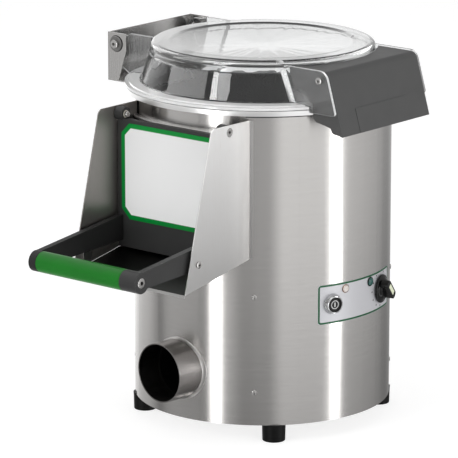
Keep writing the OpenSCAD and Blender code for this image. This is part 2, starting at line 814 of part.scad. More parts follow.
lid_inner = concat(
  [
    [0, lid_top - lid_dish_h - lid_t], [lid_flat_r, lid_top - lid_dish_h - lid_t],
    [lid_dish_r - 1, lid_top - 2 - lid_t], [lid_dish_r + 3, lid_top - lid_t]
  ],
  arc(lid_shoulder_r - lid_round_r, lid_top - lid_round_r, lid_round_r - lid_t, 90, 0),
  [
    [lid_shoulder_r - lid_t, lid_z + lid_groove_h], [lid_foot_r - lid_t, lid_flange_z],
    [lip_r - lid_t, lid_z], [lip_r - lid_t, lid_z - lid_lip_h]
  ]
);

module lid() {
  color("white", 0.5) difference() {
    union() {
      rotate_extrude() polygon(concat(lid_outer, lid_inner, [
        [lip_r, lid_z - lid_lip_h], [lip_r, lid_z], [seal_in_r, lid_z], [seal_in_r, lid_z + 1.5],
        [seal_in_r + seal_w, lid_z + 1.5], [seal_in_r + seal_w, lid_z]
      ]));
      difference() {
        union() {
          both_y() plate_y(ear_in, ear_in + ear_t) handle_ear();
          both_y() plate_y(hinge_ear_in, hinge_ear_out) hinge_ear();
        }
        rotate_extrude() polygon(concat(
          [[0, lid_z - lid_lip_h]], [for (p = lid_inner) [p[0] > 0 ? p[0] + 1 : 0, p[1] + 1]]
        ));
        rotate_extrude() polygon([
          [0, lid_z - 20], [rim_r - 1, lid_z - 20], [rim_r - 1, lid_z + 2], [0, lid_z + 2]
        ]);
        rod_z(lid_z - 20, lid_z, rim_r + 1.2);
      }
    }
    translate([latch_x, 0, latch_z]) rod_y(-ear_span, ear_span, latch_screw_r + hole_gap);
    translate([-hinge_x, 0, hinge_z]) rod_y(-bracket_w, bracket_w, hinge_bolt_r + run_gap);
  }
}

module handle_ear() {
  top = lid_top - ear_drop;
  low = lid_z - ear_low;
  d = face_d - 1;
  up_z = top - ear_round_r;
  low_z = low + ear_corner_r;
  polygon(concat(
    [[lid_dish_r - 25, low], [lid_dish_r - 25, top]],
    arc(lean_x(d - ear_round_r, up_z), up_z, ear_round_r, 90, latch_lean),
    arc(lean_x(d - ear_corner_r, low_z), low_z, ear_corner_r, latch_lean, -90)
  ));
}

module hinge_ear() {
  c = [-hinge_x, hinge_z];
  foot = [-hinge_x + 5.6, rim_top + 11];
  inside = -lid_dish_r + 12;
  polygon(concat(
    [[inside, lid_z], [inside, hinge_z + 15.5], c + [20, 15.5], c + [16.5, hinge_ear_r]],
    arc(c[0], c[1], hinge_ear_r, 90, 180),
    [touch(c, hinge_ear_r, foot, -1), foot, foot + [20, -11]]
  ));
}

module lid_seal() {
  color("whitesmoke") tube(seal_in_r + seal_w - 0.1, seal_in_r + 0.1, rim_top + seat_gap, lid_z + 1.45);
}

// ---- Latch ----

function handle_edge(inset) =
  let (z = lid_top - latch_top_drop - latch_fold_r)
  arc(lean_x(face_d - latch_fold_r, z), z, latch_fold_r - inset, 90, latch_lean);

// What the handle has to stay clear of: the rim, the lid and their clearance
module handle_envelope() {
  rotate_extrude() polygon([
    [0, rim_top - 2 * latch_drop], [rim_r + 0.8, rim_top - 2 * latch_drop],
    [rim_r + 0.8, lid_z + lid_edge_t + 1.5], [lid_step_r + 2, lid_flange_z + 1.5],
    [lid_foot_r + latch_gap, lid_flange_z + 1.5],
    [lid_shoulder_r + 1 + latch_gap, lid_z + lid_groove_h],
    [lid_shoulder_r + latch_gap, lid_top - lid_round_r],
    [lid_shoulder_r + latch_gap - 1, lid_top], [0, lid_top]
  ]);
}

module handle_side() {
  low = rim_top - latch_drop;
  polygon(concat(
    [[lid_dish_r, rim_top + 32], [lid_dish_r, lid_top - latch_top_drop]],
    handle_edge(0),
    [
      [latch_reach, low], [latch_reach - 15.3, low + 2.3], [latch_reach - 18, low + 4.5],
      [latch_reach - 20.2, low + 9.3], [latch_reach - 27.6, low + 11.3],
      [latch_reach - 44.6, low + 14.8], [latch_reach - 49, rim_top - 11],
      [latch_reach - 49, rim_top + 9], [latch_x - 27, rim_top + 11.5],
      [latch_x - 28, rim_top + 15], [latch_x - 30, rim_top + 19],
      [latch_x - 36, rim_top + 22], [latch_x - 45, rim_top + 24.5]
    ]
  ));
}

module latch_handle() {
  low = rim_top - latch_drop;
  top = lid_top - latch_top_drop;
  inner_x = lean_x(face_d - latch_t, low - 1);
  color("dimgray") difference() {
    union() {
      plate_y(-latch_side, latch_side) difference() {
        polygon(concat([[lid_dish_r, low], [lid_dish_r, top]], handle_edge(0), [[latch_reach, low]]));
        polygon(concat(
          [[lid_dish_r - 1, low - 1], [lid_dish_r - 1, top - latch_t]],
          handle_edge(latch_t), [[inner_x, low - 1]]
        ));
      }
      both_y() plate_y(latch_side - latch_t, latch_side) handle_side();
      lean_frame() block(-1, pad_t, -pad_w / 2, pad_w / 2, 0, pad_h);
    }
    handle_envelope();
    translate([latch_x, 0, latch_z]) rod_y(-ear_span, ear_span, latch_screw_r + run_gap);
  }
}

module latch_screws() {
  ear = ear_span / 2;
  inside = latch_side - latch_t;
  color("gainsboro") both_y() translate([latch_x, 0, latch_z]) {
    rod_y(ear + run_gap, ear + 3.2, 1.8 * latch_screw_r);
    rod_y(inside - 8, ear + 1, latch_screw_r);
    difference() {
      rod_y(inside - 7.5, inside - 4.7, 1.8 * latch_screw_r);
      rod_y(inside - 9, inside, latch_screw_r + run_gap);
    }
  }
}

module latch_springs() {
  inside = latch_side - latch_t;
  color("silver") for (side = [-1, 1])
    translate([latch_x, side * (inside - seat_gap), latch_z]) rotate([side * 90, 0, 0])
      coil(latch_screw_r + 2, 0.6, 4, 1.75);
}

module latch_magnet() {
  half = magnet_w / 2;
  low = 2 * magnet_t;
  color("black") lean_frame() block(-latch_t - magnet_t, -latch_t, -half, half, low, low + magnet_h);
}

module safety_sensors() {
  top = rim_top - rim_band_h - 4;
  back = drum_r + seat_gap;
  x = cheek_x + 1;
  color("black") {
    block(back, back + sensor_d, -sensor_w / 2, sensor_w / 2, top - sensor_h, top);
    block(x, x + door_sensor_t, -frame_y + frame_t, -frame_y + frame_t + door_sensor_d,
      magnet_z - door_sensor_h / 2, magnet_z + door_sensor_h / 2);
  }
}

// ---- Chute ----

module chute_wall() {
  color("silver") difference() {
    plate_x(chute_w / 2, chute_w / 2 + chute_t) polygon([
      [-wall_back_y, chute_z(wall_back_y)], [-wall_back_y, shell_top - chute_top_drop],
      [-chute_top_reach + 4, shell_top - chute_top_drop],
      [-chute_top_reach - 1, shell_top - chute_top_drop - 4],
      [-chute_reach, chute_z(chute_reach)]
    ]);
    translate([0, -door_y, door_z]) rod_x(chute_w / 2 - 1, chute_w / 2 + 5, pivot_head_r + hole_gap);
    chute_screw_place() rod_x(chute_w / 2 - 1, chute_w / 2 + 5, chute_screw_r + hole_gap);
  }
}

module chute_screw_place() {
  translate([0, -chute_screw_y, chute_z(chute_screw_y) + chute_screw_h]) children();
}

module chute_wall_left() {
  mirror([1, 0, 0]) chute_wall();
}

module chute_wall_right() {
  chute_wall();
}

module chute_floor() {
  half = chute_w / 2 - seat_gap;
  back = wall_back_y - 5;
  drop = chute_t / cos(chute_slope);
  color("silver") difference() {
    union() {
      plate_x(-half, half) polygon([
        [-back, chute_z(back)], [-chute_reach, chute_z(chute_reach)],
        [-chute_reach, chute_z(chute_reach) - 4], [-chute_reach + chute_t, chute_z(chute_reach) - 4],
        [-chute_reach + chute_t, chute_z(chute_reach - chute_t) - drop], [-back, chute_z(back) - drop]
      ]);
      both_x() block(half - chute_t, half, -chute_screw_y - 8, -chute_screw_y + 8,
        chute_z(chute_screw_y - 8) - 1, chute_z(chute_screw_y) + chute_screw_h + 8);
    }
    rod_z(floor_z, window_top, drum_r + seat_gap);
    chute_screw_place() rod_x(-half - 1, half + 1, chute_screw_r + hole_gap);
  }
}

module chute_screws() {
  wall = chute_w / 2;
  color("gainsboro") both_x() chute_screw_place() {
    rod_x(wall + chute_t + run_gap, wall + chute_t + 2.2, 1.9 * chute_screw_r);
    rod_x(wall - 4, wall + chute_t + 1, chute_screw_r);
    difference() {
      rod_x(wall - 3.9, wall - chute_t - 2 * seat_gap, 1.8 * chute_screw_r);
      rod_x(wall - 5, wall, chute_screw_r + run_gap);
    }
  }
}

module door_collar() {
  top = shell_top - collar_drop;
  half = chute_w / 2 - seat_gap;
  color("gainsboro") intersection() {
    tube(collar_r, drum_r + seat_gap, top - collar_t, top);
    block(-half, half, -collar_r - 1, -drum_r / 2, top - collar_t - 1, top + 1);
  }
}

module door_frame() {
  half = chute_w / 2 - seat_gap;
  low = chute_z(frame_y - frame_t) + seat_gap;
  top = shell_top - collar_drop - collar_t - seat_gap;
  color("silver") difference() {
    union() {
      block(-half, half, -frame_y, -frame_y + frame_t, low, top);
      both_x() block(window_w / 2, cheek_x, -frame_y + frame_t / 2, -drum_r + 30, sill_z, window_top);
    }
    rod_z(floor_z, shell_top, drum_r + seat_gap);
    block(-frame_window_w / 2, frame_window_w / 2, -frame_y - 1, -frame_y + frame_t + 1,
      frame_low, frame_low + frame_window_h);
  }
}

module door_seal() {
  w = frame_window_w / 2;
  h = frame_window_h;
  color("black") difference() {
    block(-w - door_seal_w, w + door_seal_w, -door_back + seat_gap, -frame_y,
      frame_low - door_seal_w, frame_low + h + door_seal_w);
    block(-w, w, -door_back, -frame_y + 1, frame_low, frame_low + h);
  }
}

// ---- Door ----

module door_panel() {
  hub_in = chute_w / 2 - hub_gap - hub_l;
  color("dimgray") difference() {
    union() {
      block(-door_w / 2, door_w / 2, -door_front, -door_back, door_low, door_top);
      both_x() {
        block(hub_in, door_w / 2, -door_front, -door_back, door_top - 1, door_z);
        translate([0, -door_y, door_z]) rod_x(hub_in, hub_in + hub_l, hub_r);
      }
    }
    translate([0, -door_y, door_z]) rod_x(-chute_w, chute_w, bush_r + run_gap);
    translate([magnet_x, 0, magnet_z]) rod_y(-door_back - 3, -door_back + 1, 3.6);
  }
}

module arm_profile() {
  x = -grip_y + 2;
  polygon([
    [-door_front, sill_z + arm_root_low], [-door_front, sill_z + arm_root_high],
    [x, grip_z + arm_end_r - 0.2], [x, grip_z - 9.2]
  ]);
  translate([-grip_y, grip_z]) circle(arm_end_r);
}

// An arm of the door on the +x side, whose boss reaches in to boss_x
module door_arm(boss_x) {
  out = door_w / 2;
  in = out - arm_t;
  color("dimgray") difference() {
    union() {
      plate_x(in, out) arm_profile();
      translate([0, -grip_y, grip_z]) rod_x(boss_x, in + 1, arm_end_r);
    }
    translate([0, -grip_y, grip_z]) {
      rod_x(boss_x - 1, in + 2 + run_gap, grip_rod_r + run_gap);
      rod_x(in, out + 1, grip_screw_r + hole_gap);
      rod_x(out - grip_head_h, out + 1, grip_head_r + run_gap);
    }
  }
}

module door_arm_left() {
  mirror([1, 0, 0]) door_arm(grip_left);
}

module door_arm_right() {
  door_arm(grip_right);
}

module door_grip() {
  color("forestgreen") translate([0, -grip_y, grip_z]) difference() {
    rod_x(-grip_left, grip_right, grip_r);
    rod_x(-grip_left - 1, grip_right + 1, grip_rod_r + run_gap);
  }
}

module grip_rod() {
  end = door_w / 2 - arm_t + 2;
  color("gray") translate([0, -grip_y, grip_z]) difference() {
    rod_x(-end, end, grip_rod_r);
    both_x() rod_x(end - 14, end + 1, grip_screw_r + run_gap);
  }
}

module grip_screws() {
  out = door_w / 2;
  color("gainsboro") both_x() translate([0, -grip_y, grip_z]) {
    rod_x(out - grip_head_h, out, grip_head_r);
    rod_x(out - arm_t - 10, out - grip_head_h + 1, grip_screw_r);
  }
}

module door_label() {
  top = door_top - label_drop;
  low = sill_z + label_rise;
  x = label_w / 2;
  c = label_cut;
  color("white") plate_y(-door_front - label_t, -door_front) polygon([
    [-x + c, low], [x - c, low], [x, low + c], [x, top - c],
    [x - c, top], [-x + c, top], [-x, top - c], [-x, low + c]
  ]);
}

module door_pivot_screws() {
  wall = chute_w / 2;
  hub_in = wall - hub_gap - hub_l;
  color("gainsboro") both_x() translate([0, -door_y, door_z]) {
    rod_x(wall, wall + chute_t, pivot_head_r);
    rod_x(hub_in - 4, wall + 1, pivot_screw_r);
    difference() {
      rod_x(hub_in - 3.8, hub_in - 0.6, 1.7 * pivot_screw_r);
      rod_x(hub_in - 5, hub_in, pivot_screw_r + run_gap);
    }
  }
}

module door_bushes() {
  wall = chute_w / 2;
  hub_in = wall - hub_gap - hub_l;
  color("ivory") both_x() translate([0, -door_y, door_z]) difference() {
    union() {
      rod_x(hub_in, wall - hub_gap + 0.1, bush_r);
      rod_x(wall - hub_gap + run_gap, wall - seat_gap, bush_r + 2.5);
    }
    rod_x(hub_in - 1, wall + 1, pivot_screw_r + run_gap);
  }
}

module door_magnet() {
  color("black") translate([magnet_x, 0, magnet_z]) rod_y(-door_back - 2.9, -door_back - 0.1, 3.5);
}

// ---- Drain ----

module outlet_pipe() {
  step = drum_r + 1.5;
  color("silver") drain_frame() difference() {
    union() {
      rod_y(-drain_reach, -step, drain_r);
      rod_y(-step - 0.5, -drum_r + 20, neck_r);
    }
    rod_y(-drain_reach - 1, -drum_r + 21, drain_r - drain_wall);
  }
}

module elbow_core(r, more) {
  rod_y(-drum_r + 1 - more, -drain_hole_y - elbow_bend, r);
  translate([0, -drain_hole_y - elbow_bend, elbow_bend]) rotate([0, 90, 0])
    rotate_extrude(angle = 90) translate([elbow_bend, 0]) circle(r);
  translate([0, -drain_hole_y, 0]) rod_z(elbow_bend, floor_z - drain_z - seat_gap + more, r);
}

module drain_elbow() {
  color("dimgray") drain_frame() difference() {
    elbow_core(elbow_r, 0);
    elbow_core(elbow_r - elbow_wall, 1);
  }
}

// ---- Chamber ----

module chamber_floor() {
  color("silver") difference() {
    union() {
      rod_z(floor_z, floor_top, pan_r);
      tube(pan_r, pan_r - floor_t, floor_z - floor_skirt_h, floor_z);
      drain_frame() translate([0, -drain_hole_y, 0])
        rod_z(floor_z - drain_z - spigot_h, floor_z - drain_z, elbow_r + seat_gap + floor_t);
    }
    rod_z(floor_z - 1, floor_top + 1, neck_out_r + hole_gap);
    drain_frame() translate([0, -drain_hole_y, 0]) {
      rod_z(floor_z - drain_z - spigot_h - 1, floor_z - drain_z, elbow_r + seat_gap);
      rod_z(floor_z - drain_z - 1, floor_top - drain_z + 1, elbow_r - elbow_wall);
    }
    rivet_holes(floor_z - floor_rivet_drop);
    radial(start_azimuth, panel_z) rod_z(drum_r - 20, drum_r, bezel_r + 1);
    radial(mains_azimuth, panel_z + lamp_h) rod_z(drum_r - 20, drum_r, mains_r + 1);
    radial(run_azimuth, panel_z + lamp_h) rod_z(drum_r - 20, drum_r, run_r + 1);
    radial(timer_azimuth, panel_z + timer_h) rod_z(drum_r - 20, drum_r, timer_neck_r + 4);
  }
}

module abrasive_liner() {
  color("gray") difference() {
    tube(pan_r, pan_r - liner_t, floor_top, shell_top - rim_sleeve_h - seat_gap);
    block(-window_w / 2, window_w / 2, -drum_r - 1, -drum_r + 60, sill_z, window_top);
    radial(inlet_azimuth, shell_top - inlet_drop) rod_z(drum_r - 30, drum_r + 5, inlet_r + hole_gap);
  }
}

module peeling_disc() {
  wave_z = disc_top + wave_h - wave_r;
  color("slategray") difference() {
    union() {
      rod_z(disc_z, grit_z, disc_r);
      rod_z(grit_z, disc_top, disc_r - 3);
      rod_z(disc_z - disc_hub_h, disc_z, disc_hub_r);
      for (i = [0:wave_count - 1]) rotate([0, 0, i * 360 / wave_count]) intersection() {
        translate([0, 0, wave_z]) rod_x(disc_hub_r, disc_r - 10, wave_r);
        block(disc_hub_r - 1, disc_r, -wave_r, wave_r, disc_top - 1, disc_top + wave_h + 1);
      }
      for (i = [0:1]) rotate([0, 0, 90 + i * 180])
        block(disc_hub_r - 2, disc_r - 6, -3, 3, disc_z - blade_h, disc_z);
    }
    rod_z(disc_z - disc_hub_h - 1, disc_top + 1, shaft_r + run_gap);
  }
}

module disc_nut() {
  color("gainsboro") difference() {
    union() {
      translate([0, 0, disc_top]) cylinder(r = shaft_r + 4, h = 10, $fn = 6);
      rod_z(disc_top + 10, disc_top + 13, shaft_r);
    }
    rod_z(disc_top - 1, disc_top + 9.5, shaft_r / 2 + run_gap);
  }
}

// ---- Drive ----

module main_shaft() {
  color("silver") {
    rod_z(pulley_low, disc_top, shaft_r);
    rod_z(disc_top - 1, disc_top + 9, shaft_r / 2);
  }
}

module bearing_housing() {
  low = floor_z - housing_h;
  bore = bearing_r + run_gap;
  color("dimgray") difference() {
    union() {
      rod_z(low, floor_z, housing_r);
      rod_z(floor_z - 6, floor_z, housing_flange_r);
      rod_z(floor_z, floor_z + neck_h, neck_out_r);
    }
    rod_z(low - 1, low + 2 + bearing_w, bore);
    rod_z(low, floor_z, bearing_r - 3.5);
    rod_z(floor_z - bearing_w, floor_z + neck_h + 1, bore);
  }
}

module shaft_bearings() {
  low = floor_z - housing_h + 2;
  color("silver") {
    tube(bearing_r, shaft_r + run_gap, low, low + bearing_w);
    tube(bearing_r, shaft_r + run_gap, floor_z - bearing_w, floor_z);
  }
}

module shaft_seal() {
  color("black") tube(bearing_r, shaft_r + run_gap, floor_z + seat_gap, floor_z + neck_h - 1);
}

// Outline of a belt pulley as [radius, height], for a track of radius r
function pulley_outline(r) = [
  [0, pulley_low], [r + pulley_lip, pulley_low], [r + pulley_lip, pulley_low + pulley_lip - 1],
  [r, pulley_low + pulley_lip], [r, pulley_high - pulley_lip],
  [r + pulley_lip, pulley_high - pulley_lip + 1], [r + pulley_lip, pulley_high], [0, pulley_high]
];

module driven_pulley() {
  color("silver") difference() {
    rotate_extrude() polygon(pulley_outline(pulley_r));
    rod_z(pulley_low - 1, pulley_high + 1, shaft_r + run_gap);
    for (i = [0:4]) rotate([0, 0, i * 72]) translate([(pulley_r + shaft_r) / 2, 0, 0])
      rod_z(pulley_low - 1, pulley_high + 1, pulley_r / 5);
  }
}

module motor_pulley() {
  color("silver") translate([0, motor_y, 0]) difference() {
    rotate_extrude() polygon(pulley_outline(motor_pulley_r));
    rod_z(pulley_low - 1, pulley_high + 1, motor_shaft_r + run_gap);
  }
}

module belt_loop(more) {
  hull() {
    circle(pulley_r + more);
    translate([0, motor_y]) circle(motor_pulley_r + more);
  }
}

module drive_belt() {
  color("black") translate([0, 0, belt_z - belt_w / 2]) linear_extrude(belt_w) difference() {
    belt_loop(seat_gap + belt_t, $fn = 64);
    belt_loop(seat_gap, $fn = 64);
  }
}

module motor_housing() {
  low = motor_top - motor_h;
  color("dimgray") translate([0, motor_y, 0]) difference() {
    union() {
      rod_z(low, motor_top, motor_r);
      for (i = [0:fin_count - 1]) rotate([0, 0, i * 360 / fin_count])
        block(motor_r - 1, motor_r + fin_h, -fin_t / 2, fin_t / 2, low + 8, motor_top - 8);
    }
    rod_z(low - 1, motor_top + 1, motor_shaft_r + run_gap);
    rod_z(low + 8, motor_top - 8, rotor_r + 0.5);
  }
}

module motor_rotor() {
  low = motor_top - motor_h;
  color("silver") translate([0, motor_y, 0]) {
    rod_z(low - 6, pulley_high + 1, motor_shaft_r);
    rod_z(low + 12, motor_top - 12, rotor_r);
  }
}

module motor_mount() {
  color("silver") difference() {
    union() {
      intersection() {
        block(-pillar_x - 10, pillar_x + 10, motor_y - pillar_front - 10, motor_y + pillar_back + 10,
          motor_top, motor_top + mount_t);
        rod_z(motor_top, motor_top + mount_t, pan_gap_r - 3);
      }
      both_x() for (p = [[pillar_x, -pillar_front], [pillar_x - 18, pillar_back]])
        translate([p[0], motor_y + p[1], 0]) rod_z(motor_top, floor_z, pillar_r);
    }
    translate([0, motor_y, 0]) rod_z(motor_top - 1, motor_top + mount_t + 1, motor_pulley_r + 6);
  }
}

// ---- Controls ----

module control_label() {
  color("lightgray") difference() {
    intersection() {
      tube(panel_r, drum_r + run_gap, panel_z - panel_z_size, panel_z + panel_z_size);
      plate_x(drum_r / 2, drum_r + 5) translate([panel_mid_y, panel_z])
        round_rect(panel_y_size, panel_z_size, panel_corner_r);
    }
    control_holes();
  }
}

module start_bezel() {
  hole_r = cap_r + run_gap;
  front = drum_r + bezel_out;
  color("silver") radial(start_azimuth, panel_z) difference() {
    union() {
      rotate_extrude() polygon([
        [0, drum_r - 17], [barrel_r, drum_r - 17], [barrel_r, face_r], [bezel_r, face_r],
        [bezel_r, face_r + 1.5], [bezel_r - 2.2, front - 0.8], [bezel_r - 3, front], [0, front]
      ]);
      rod_z(drum_r - 7, drum_r - 3.5, bezel_r);
    }
    rod_z(drum_r - 18, front + 1, hole_r);
  }
}

module start_cap() {
  front = drum_r + bezel_out - 0.7;
  color("black") radial(start_azimuth, panel_z) difference() {
    rod_z(drum_r - 9, front, cap_r);
    rod_z(drum_r - 10, drum_r, cap_r - 4);
  }
}

module start_spring() {
  color("silver") radial(start_azimuth, panel_z) translate([0, 0, drum_r - 17 + run_gap])
    coil(cap_r - 5, 0.6, 16.8 - start_travel, 6);
}

module start_switch() {
  back = drum_r - 47;
  color("black") radial(start_azimuth, panel_z) {
    block(-12, 12, -12, 12, back, drum_r - 17.2);
    both_x() block(6, 8, -4, 4, back - 7, back);
  }
}

module lamp(r) {
  rotate_extrude() polygon(concat(
    [[0, drum_r - 15], [r - 1, drum_r - 15], [r - 1, face_r], [r, face_r], [r, face_r + 0.8]],
    [for (a = [15:15:90]) [r * cos(a), face_r + 0.8 + 2 * sin(a)]]
  ));
}

module mains_lamp() {
  color("white", 0.8) radial(mains_azimuth, panel_z + lamp_h) lamp(mains_r);
}

module run_lamp() {
  color("seagreen") radial(run_azimuth, panel_z + lamp_h) lamp(run_r);
}

module timer_knob() {
  low = face_r + 1.2;
  color("black") radial(timer_azimuth, panel_z + timer_h) {
    rotate_extrude() polygon([
      [0, low], [knob_r, low], [knob_r, low + 2.5], [knob_r - 3.5, low + 5.5], [0, low + 6]
    ]);
    rotate([0, 0, knob_turn]) intersection() {
      block(-knob_bar_w / 2, knob_bar_w / 2, -knob_r, knob_r, low + 5, drum_r + knob_out);
      rod_z(low, drum_r + knob_out + 1, knob_bar_r);
    }
    rod_z(drum_r - 25, low + 1, spindle_r);
  }
}

module timer_body() {
  front = drum_r - 2 * timer_neck_r;
  color("white") radial(timer_azimuth, panel_z + timer_h) difference() {
    union() {
      rod_z(front - timer_l, front, timer_r);
      rod_z(front - 1, face_r + 0.6, timer_neck_r);
    }
    rod_z(drum_r - 26, drum_r + 10, spindle_r + run_gap);
  }
}

// ---- Services ----

module relay_box() {
  low = foot_h + base_t;
  x = -pan_gap_r + relay_gap + relay_d;
  step = relay_d / 5;
  color("white") {
    block(x - relay_d, x, -relay_l / 2, relay_l / 2, low, low + relay_h);
    block(x - relay_d + step, x - step, -relay_l / 2 + step, relay_l / 2 - step,
      low + relay_h - 1, low + relay_h * 5 / 4);
  }
}

module cable_gland() {
  color("black") radial(gland_azimuth, foot_h + gland_h) difference() {
    union() {
      rod_z(drum_r - 16, drum_r + 7, gland_r);
      translate([0, 0, drum_r + seat_gap]) cylinder(r = gland_r + 4, h = 6, $fn = 6);
      rod_z(drum_r + 6, drum_r + 16, gland_r + 1);
      translate([0, 0, drum_r - 9]) cylinder(r = gland_r + 3.5, h = 3.5, $fn = 6);
    }
    rod_z(drum_r - 17, drum_r + 17, gland_bore_r);
  }
}

module water_inlet() {
  color("silver") radial(inlet_azimuth, shell_top - inlet_drop) difference() {
    union() {
      rod_z(drum_r - 12, drum_r + 1, inlet_r);
      rod_z(drum_r + seat_gap, drum_r + 3, inlet_r + 6);
      rod_z(drum_r + 3, drum_r + 3 + inlet_l, inlet_r);
    }
    rod_z(drum_r - 13, drum_r + 4 + inlet_l, inlet_bore_r);
  }
}

outer_shell();
rim_ring();
base_plate();
shell_rivets();
rubber_feet();
foot_nuts();
hinge_bracket();
hinge_bolts();
lid();
lid_seal();
latch_handle();
latch_screws();
latch_springs();
latch_magnet();
safety_sensors();
chute_wall_left();
chute_wall_right();
chute_floor();
chute_screws();
door_collar();
door_frame();
door_seal();
door_panel();
door_arm_left();
door_arm_right();
door_grip();
grip_rod();
grip_screws();
door_label();
door_pivot_screws();
door_bushes();
door_magnet();
outlet_pipe();
drain_elbow();
chamber_floor();
abrasive_liner();
peeling_disc();
disc_nut();
main_shaft();
bearing_housing();
shaft_bearings();
shaft_seal();
driven_pulley();
drive_belt();
motor_pulley();
motor_housing();
motor_rotor();
motor_mount();
control_label();
start_bezel();
start_cap();
start_spring();
start_switch();
mains_lamp();
run_lamp();
timer_knob();
timer_body();
relay_box();
cable_gland();
water_inlet();
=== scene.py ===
"""Dresses the electric potato peeler: its finishes, its detailed pieces, the light and the camera."""
import json
import logging
import math
from dataclasses import dataclass
from enum import Enum
from typing import Iterable, Optional, Sequence, Union

import bmesh
import bpy
from mathutils import Matrix, Vector

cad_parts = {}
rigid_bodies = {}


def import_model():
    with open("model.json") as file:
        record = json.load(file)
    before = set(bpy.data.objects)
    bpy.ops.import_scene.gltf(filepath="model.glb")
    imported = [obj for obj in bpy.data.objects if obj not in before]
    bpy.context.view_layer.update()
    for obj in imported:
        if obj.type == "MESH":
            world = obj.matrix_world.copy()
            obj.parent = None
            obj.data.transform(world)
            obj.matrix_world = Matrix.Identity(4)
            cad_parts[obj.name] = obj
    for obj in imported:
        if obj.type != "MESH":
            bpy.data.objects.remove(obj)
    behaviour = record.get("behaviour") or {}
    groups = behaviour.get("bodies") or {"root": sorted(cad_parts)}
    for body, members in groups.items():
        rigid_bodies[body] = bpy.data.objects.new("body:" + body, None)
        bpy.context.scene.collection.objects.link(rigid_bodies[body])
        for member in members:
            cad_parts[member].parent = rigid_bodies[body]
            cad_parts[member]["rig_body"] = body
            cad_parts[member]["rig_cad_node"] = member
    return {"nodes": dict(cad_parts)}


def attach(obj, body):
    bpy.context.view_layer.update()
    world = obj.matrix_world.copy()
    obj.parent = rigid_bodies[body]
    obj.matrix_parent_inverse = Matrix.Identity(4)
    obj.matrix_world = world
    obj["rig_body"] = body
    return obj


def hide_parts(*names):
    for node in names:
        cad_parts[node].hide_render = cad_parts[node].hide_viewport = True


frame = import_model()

log = logging.getLogger("peeler")
Place = tuple[float, float, float]
Colour = tuple[float, float, float]
Pairs = Sequence[tuple[float, float]]
Piece = bpy.types.Object
MM = 0.001
MERGE_M = 0.000002
FLAT_DEGREES = 0.4
DRUM_R = 175.0
DRAIN_YAW, DRAIN_SIDE, DRAIN_Z = 5.4, 15.0, 92.0
CONTROL_Z, START_AZIMUTH = 185.5, 71.6
TIMER_Z, TIMER_AZIMUTH = 187.1, 104.4


class Grain(Enum):
    """The direction of a brushed finish's scratches."""

    AROUND = "around the drum"
    UPRIGHT = "up and down"
    DEEP = "front to back"
    RING = "around the drain"


class Axis(Enum):
    """A direction that a turned piece points in."""

    RIGHT = (1.0, 0.0, 0.0)
    LEFT = (-1.0, 0.0, 0.0)
    BACK = (0.0, 1.0, 0.0)
    FRONT = (0.0, -1.0, 0.0)


SIDES = (Axis.LEFT, Axis.RIGHT)
ENDS = (Axis.FRONT, Axis.BACK)


def grey(value: float) -> Colour:
    """Give a neutral colour of one value."""
    return (value, value, value)


def toned(colour: Colour, factor: float) -> Colour:
    """Darken or lighten a colour, up to white."""
    return tuple(min(1.0, factor * part) for part in colour)


def spin(degrees: float, axis: str = "Z") -> Matrix:
    """Give a turn about an axis."""
    return Matrix.Rotation(math.radians(degrees), 4, axis)


def shift(x: float, y: float, z: float) -> Matrix:
    """Give a move in millimetres."""
    return Matrix.Translation((x * MM, y * MM, z * MM))


def out_of_drum(azimuth: float, height: float) -> Matrix:
    """Place a piece so that its z points out of the drum and its y points up.

    Args:
        azimuth: angle from the front towards the controls, in degrees.
        height: height above the surface the feet stand on, in millimetres.

    Returns:
        The matrix, whose origin is on the drum's axis.
    """
    return spin(azimuth) @ shift(0, 0, height) @ spin(90, "X")


def pointing(axis: Axis, place: Place) -> Matrix:
    """Place a piece so that its z points along an axis.

    Args:
        axis: where the piece's z points.
        place: the piece's origin in millimetres, for an axis that points to the right or the back;
            the other two axes mirror it.

    Returns:
        The matrix that moves the piece there.
    """
    turn = Vector((0, 0, 1)).rotation_difference(Vector(axis.value)).to_matrix().to_4x4()
    at = Vector([part * way if way else part for part, way in zip(place, axis.value)])
    return Matrix.Translation(at * MM) @ turn


class Value:
    """A number or a vector in a node sheet, which the usual signs combine."""

    def __init__(self, sheet: "NodeSheet", socket: bpy.types.NodeSocket) -> None:
        """Hold the output that gives it."""
        self.sheet = sheet
        self.socket = socket

    def __add__(self, other: object) -> "Value":
        """Add a number."""
        return self.sheet.math("ADD", self, other)

    def __sub__(self, other: object) -> "Value":
        """Take a number away."""
        return self.sheet.math("SUBTRACT", self, other)

    def __rsub__(self, other: object) -> "Value":
        """Take it away from a number."""
        return self.sheet.math("SUBTRACT", other, self)

    def __mul__(self, other: object) -> "Value":
        """Multiply by a number."""
        return self.sheet.math("MULTIPLY", self, other)

    def __abs__(self) -> "Value":
        """Drop the sign."""
        return self.sheet.math("ABSOLUTE", self)


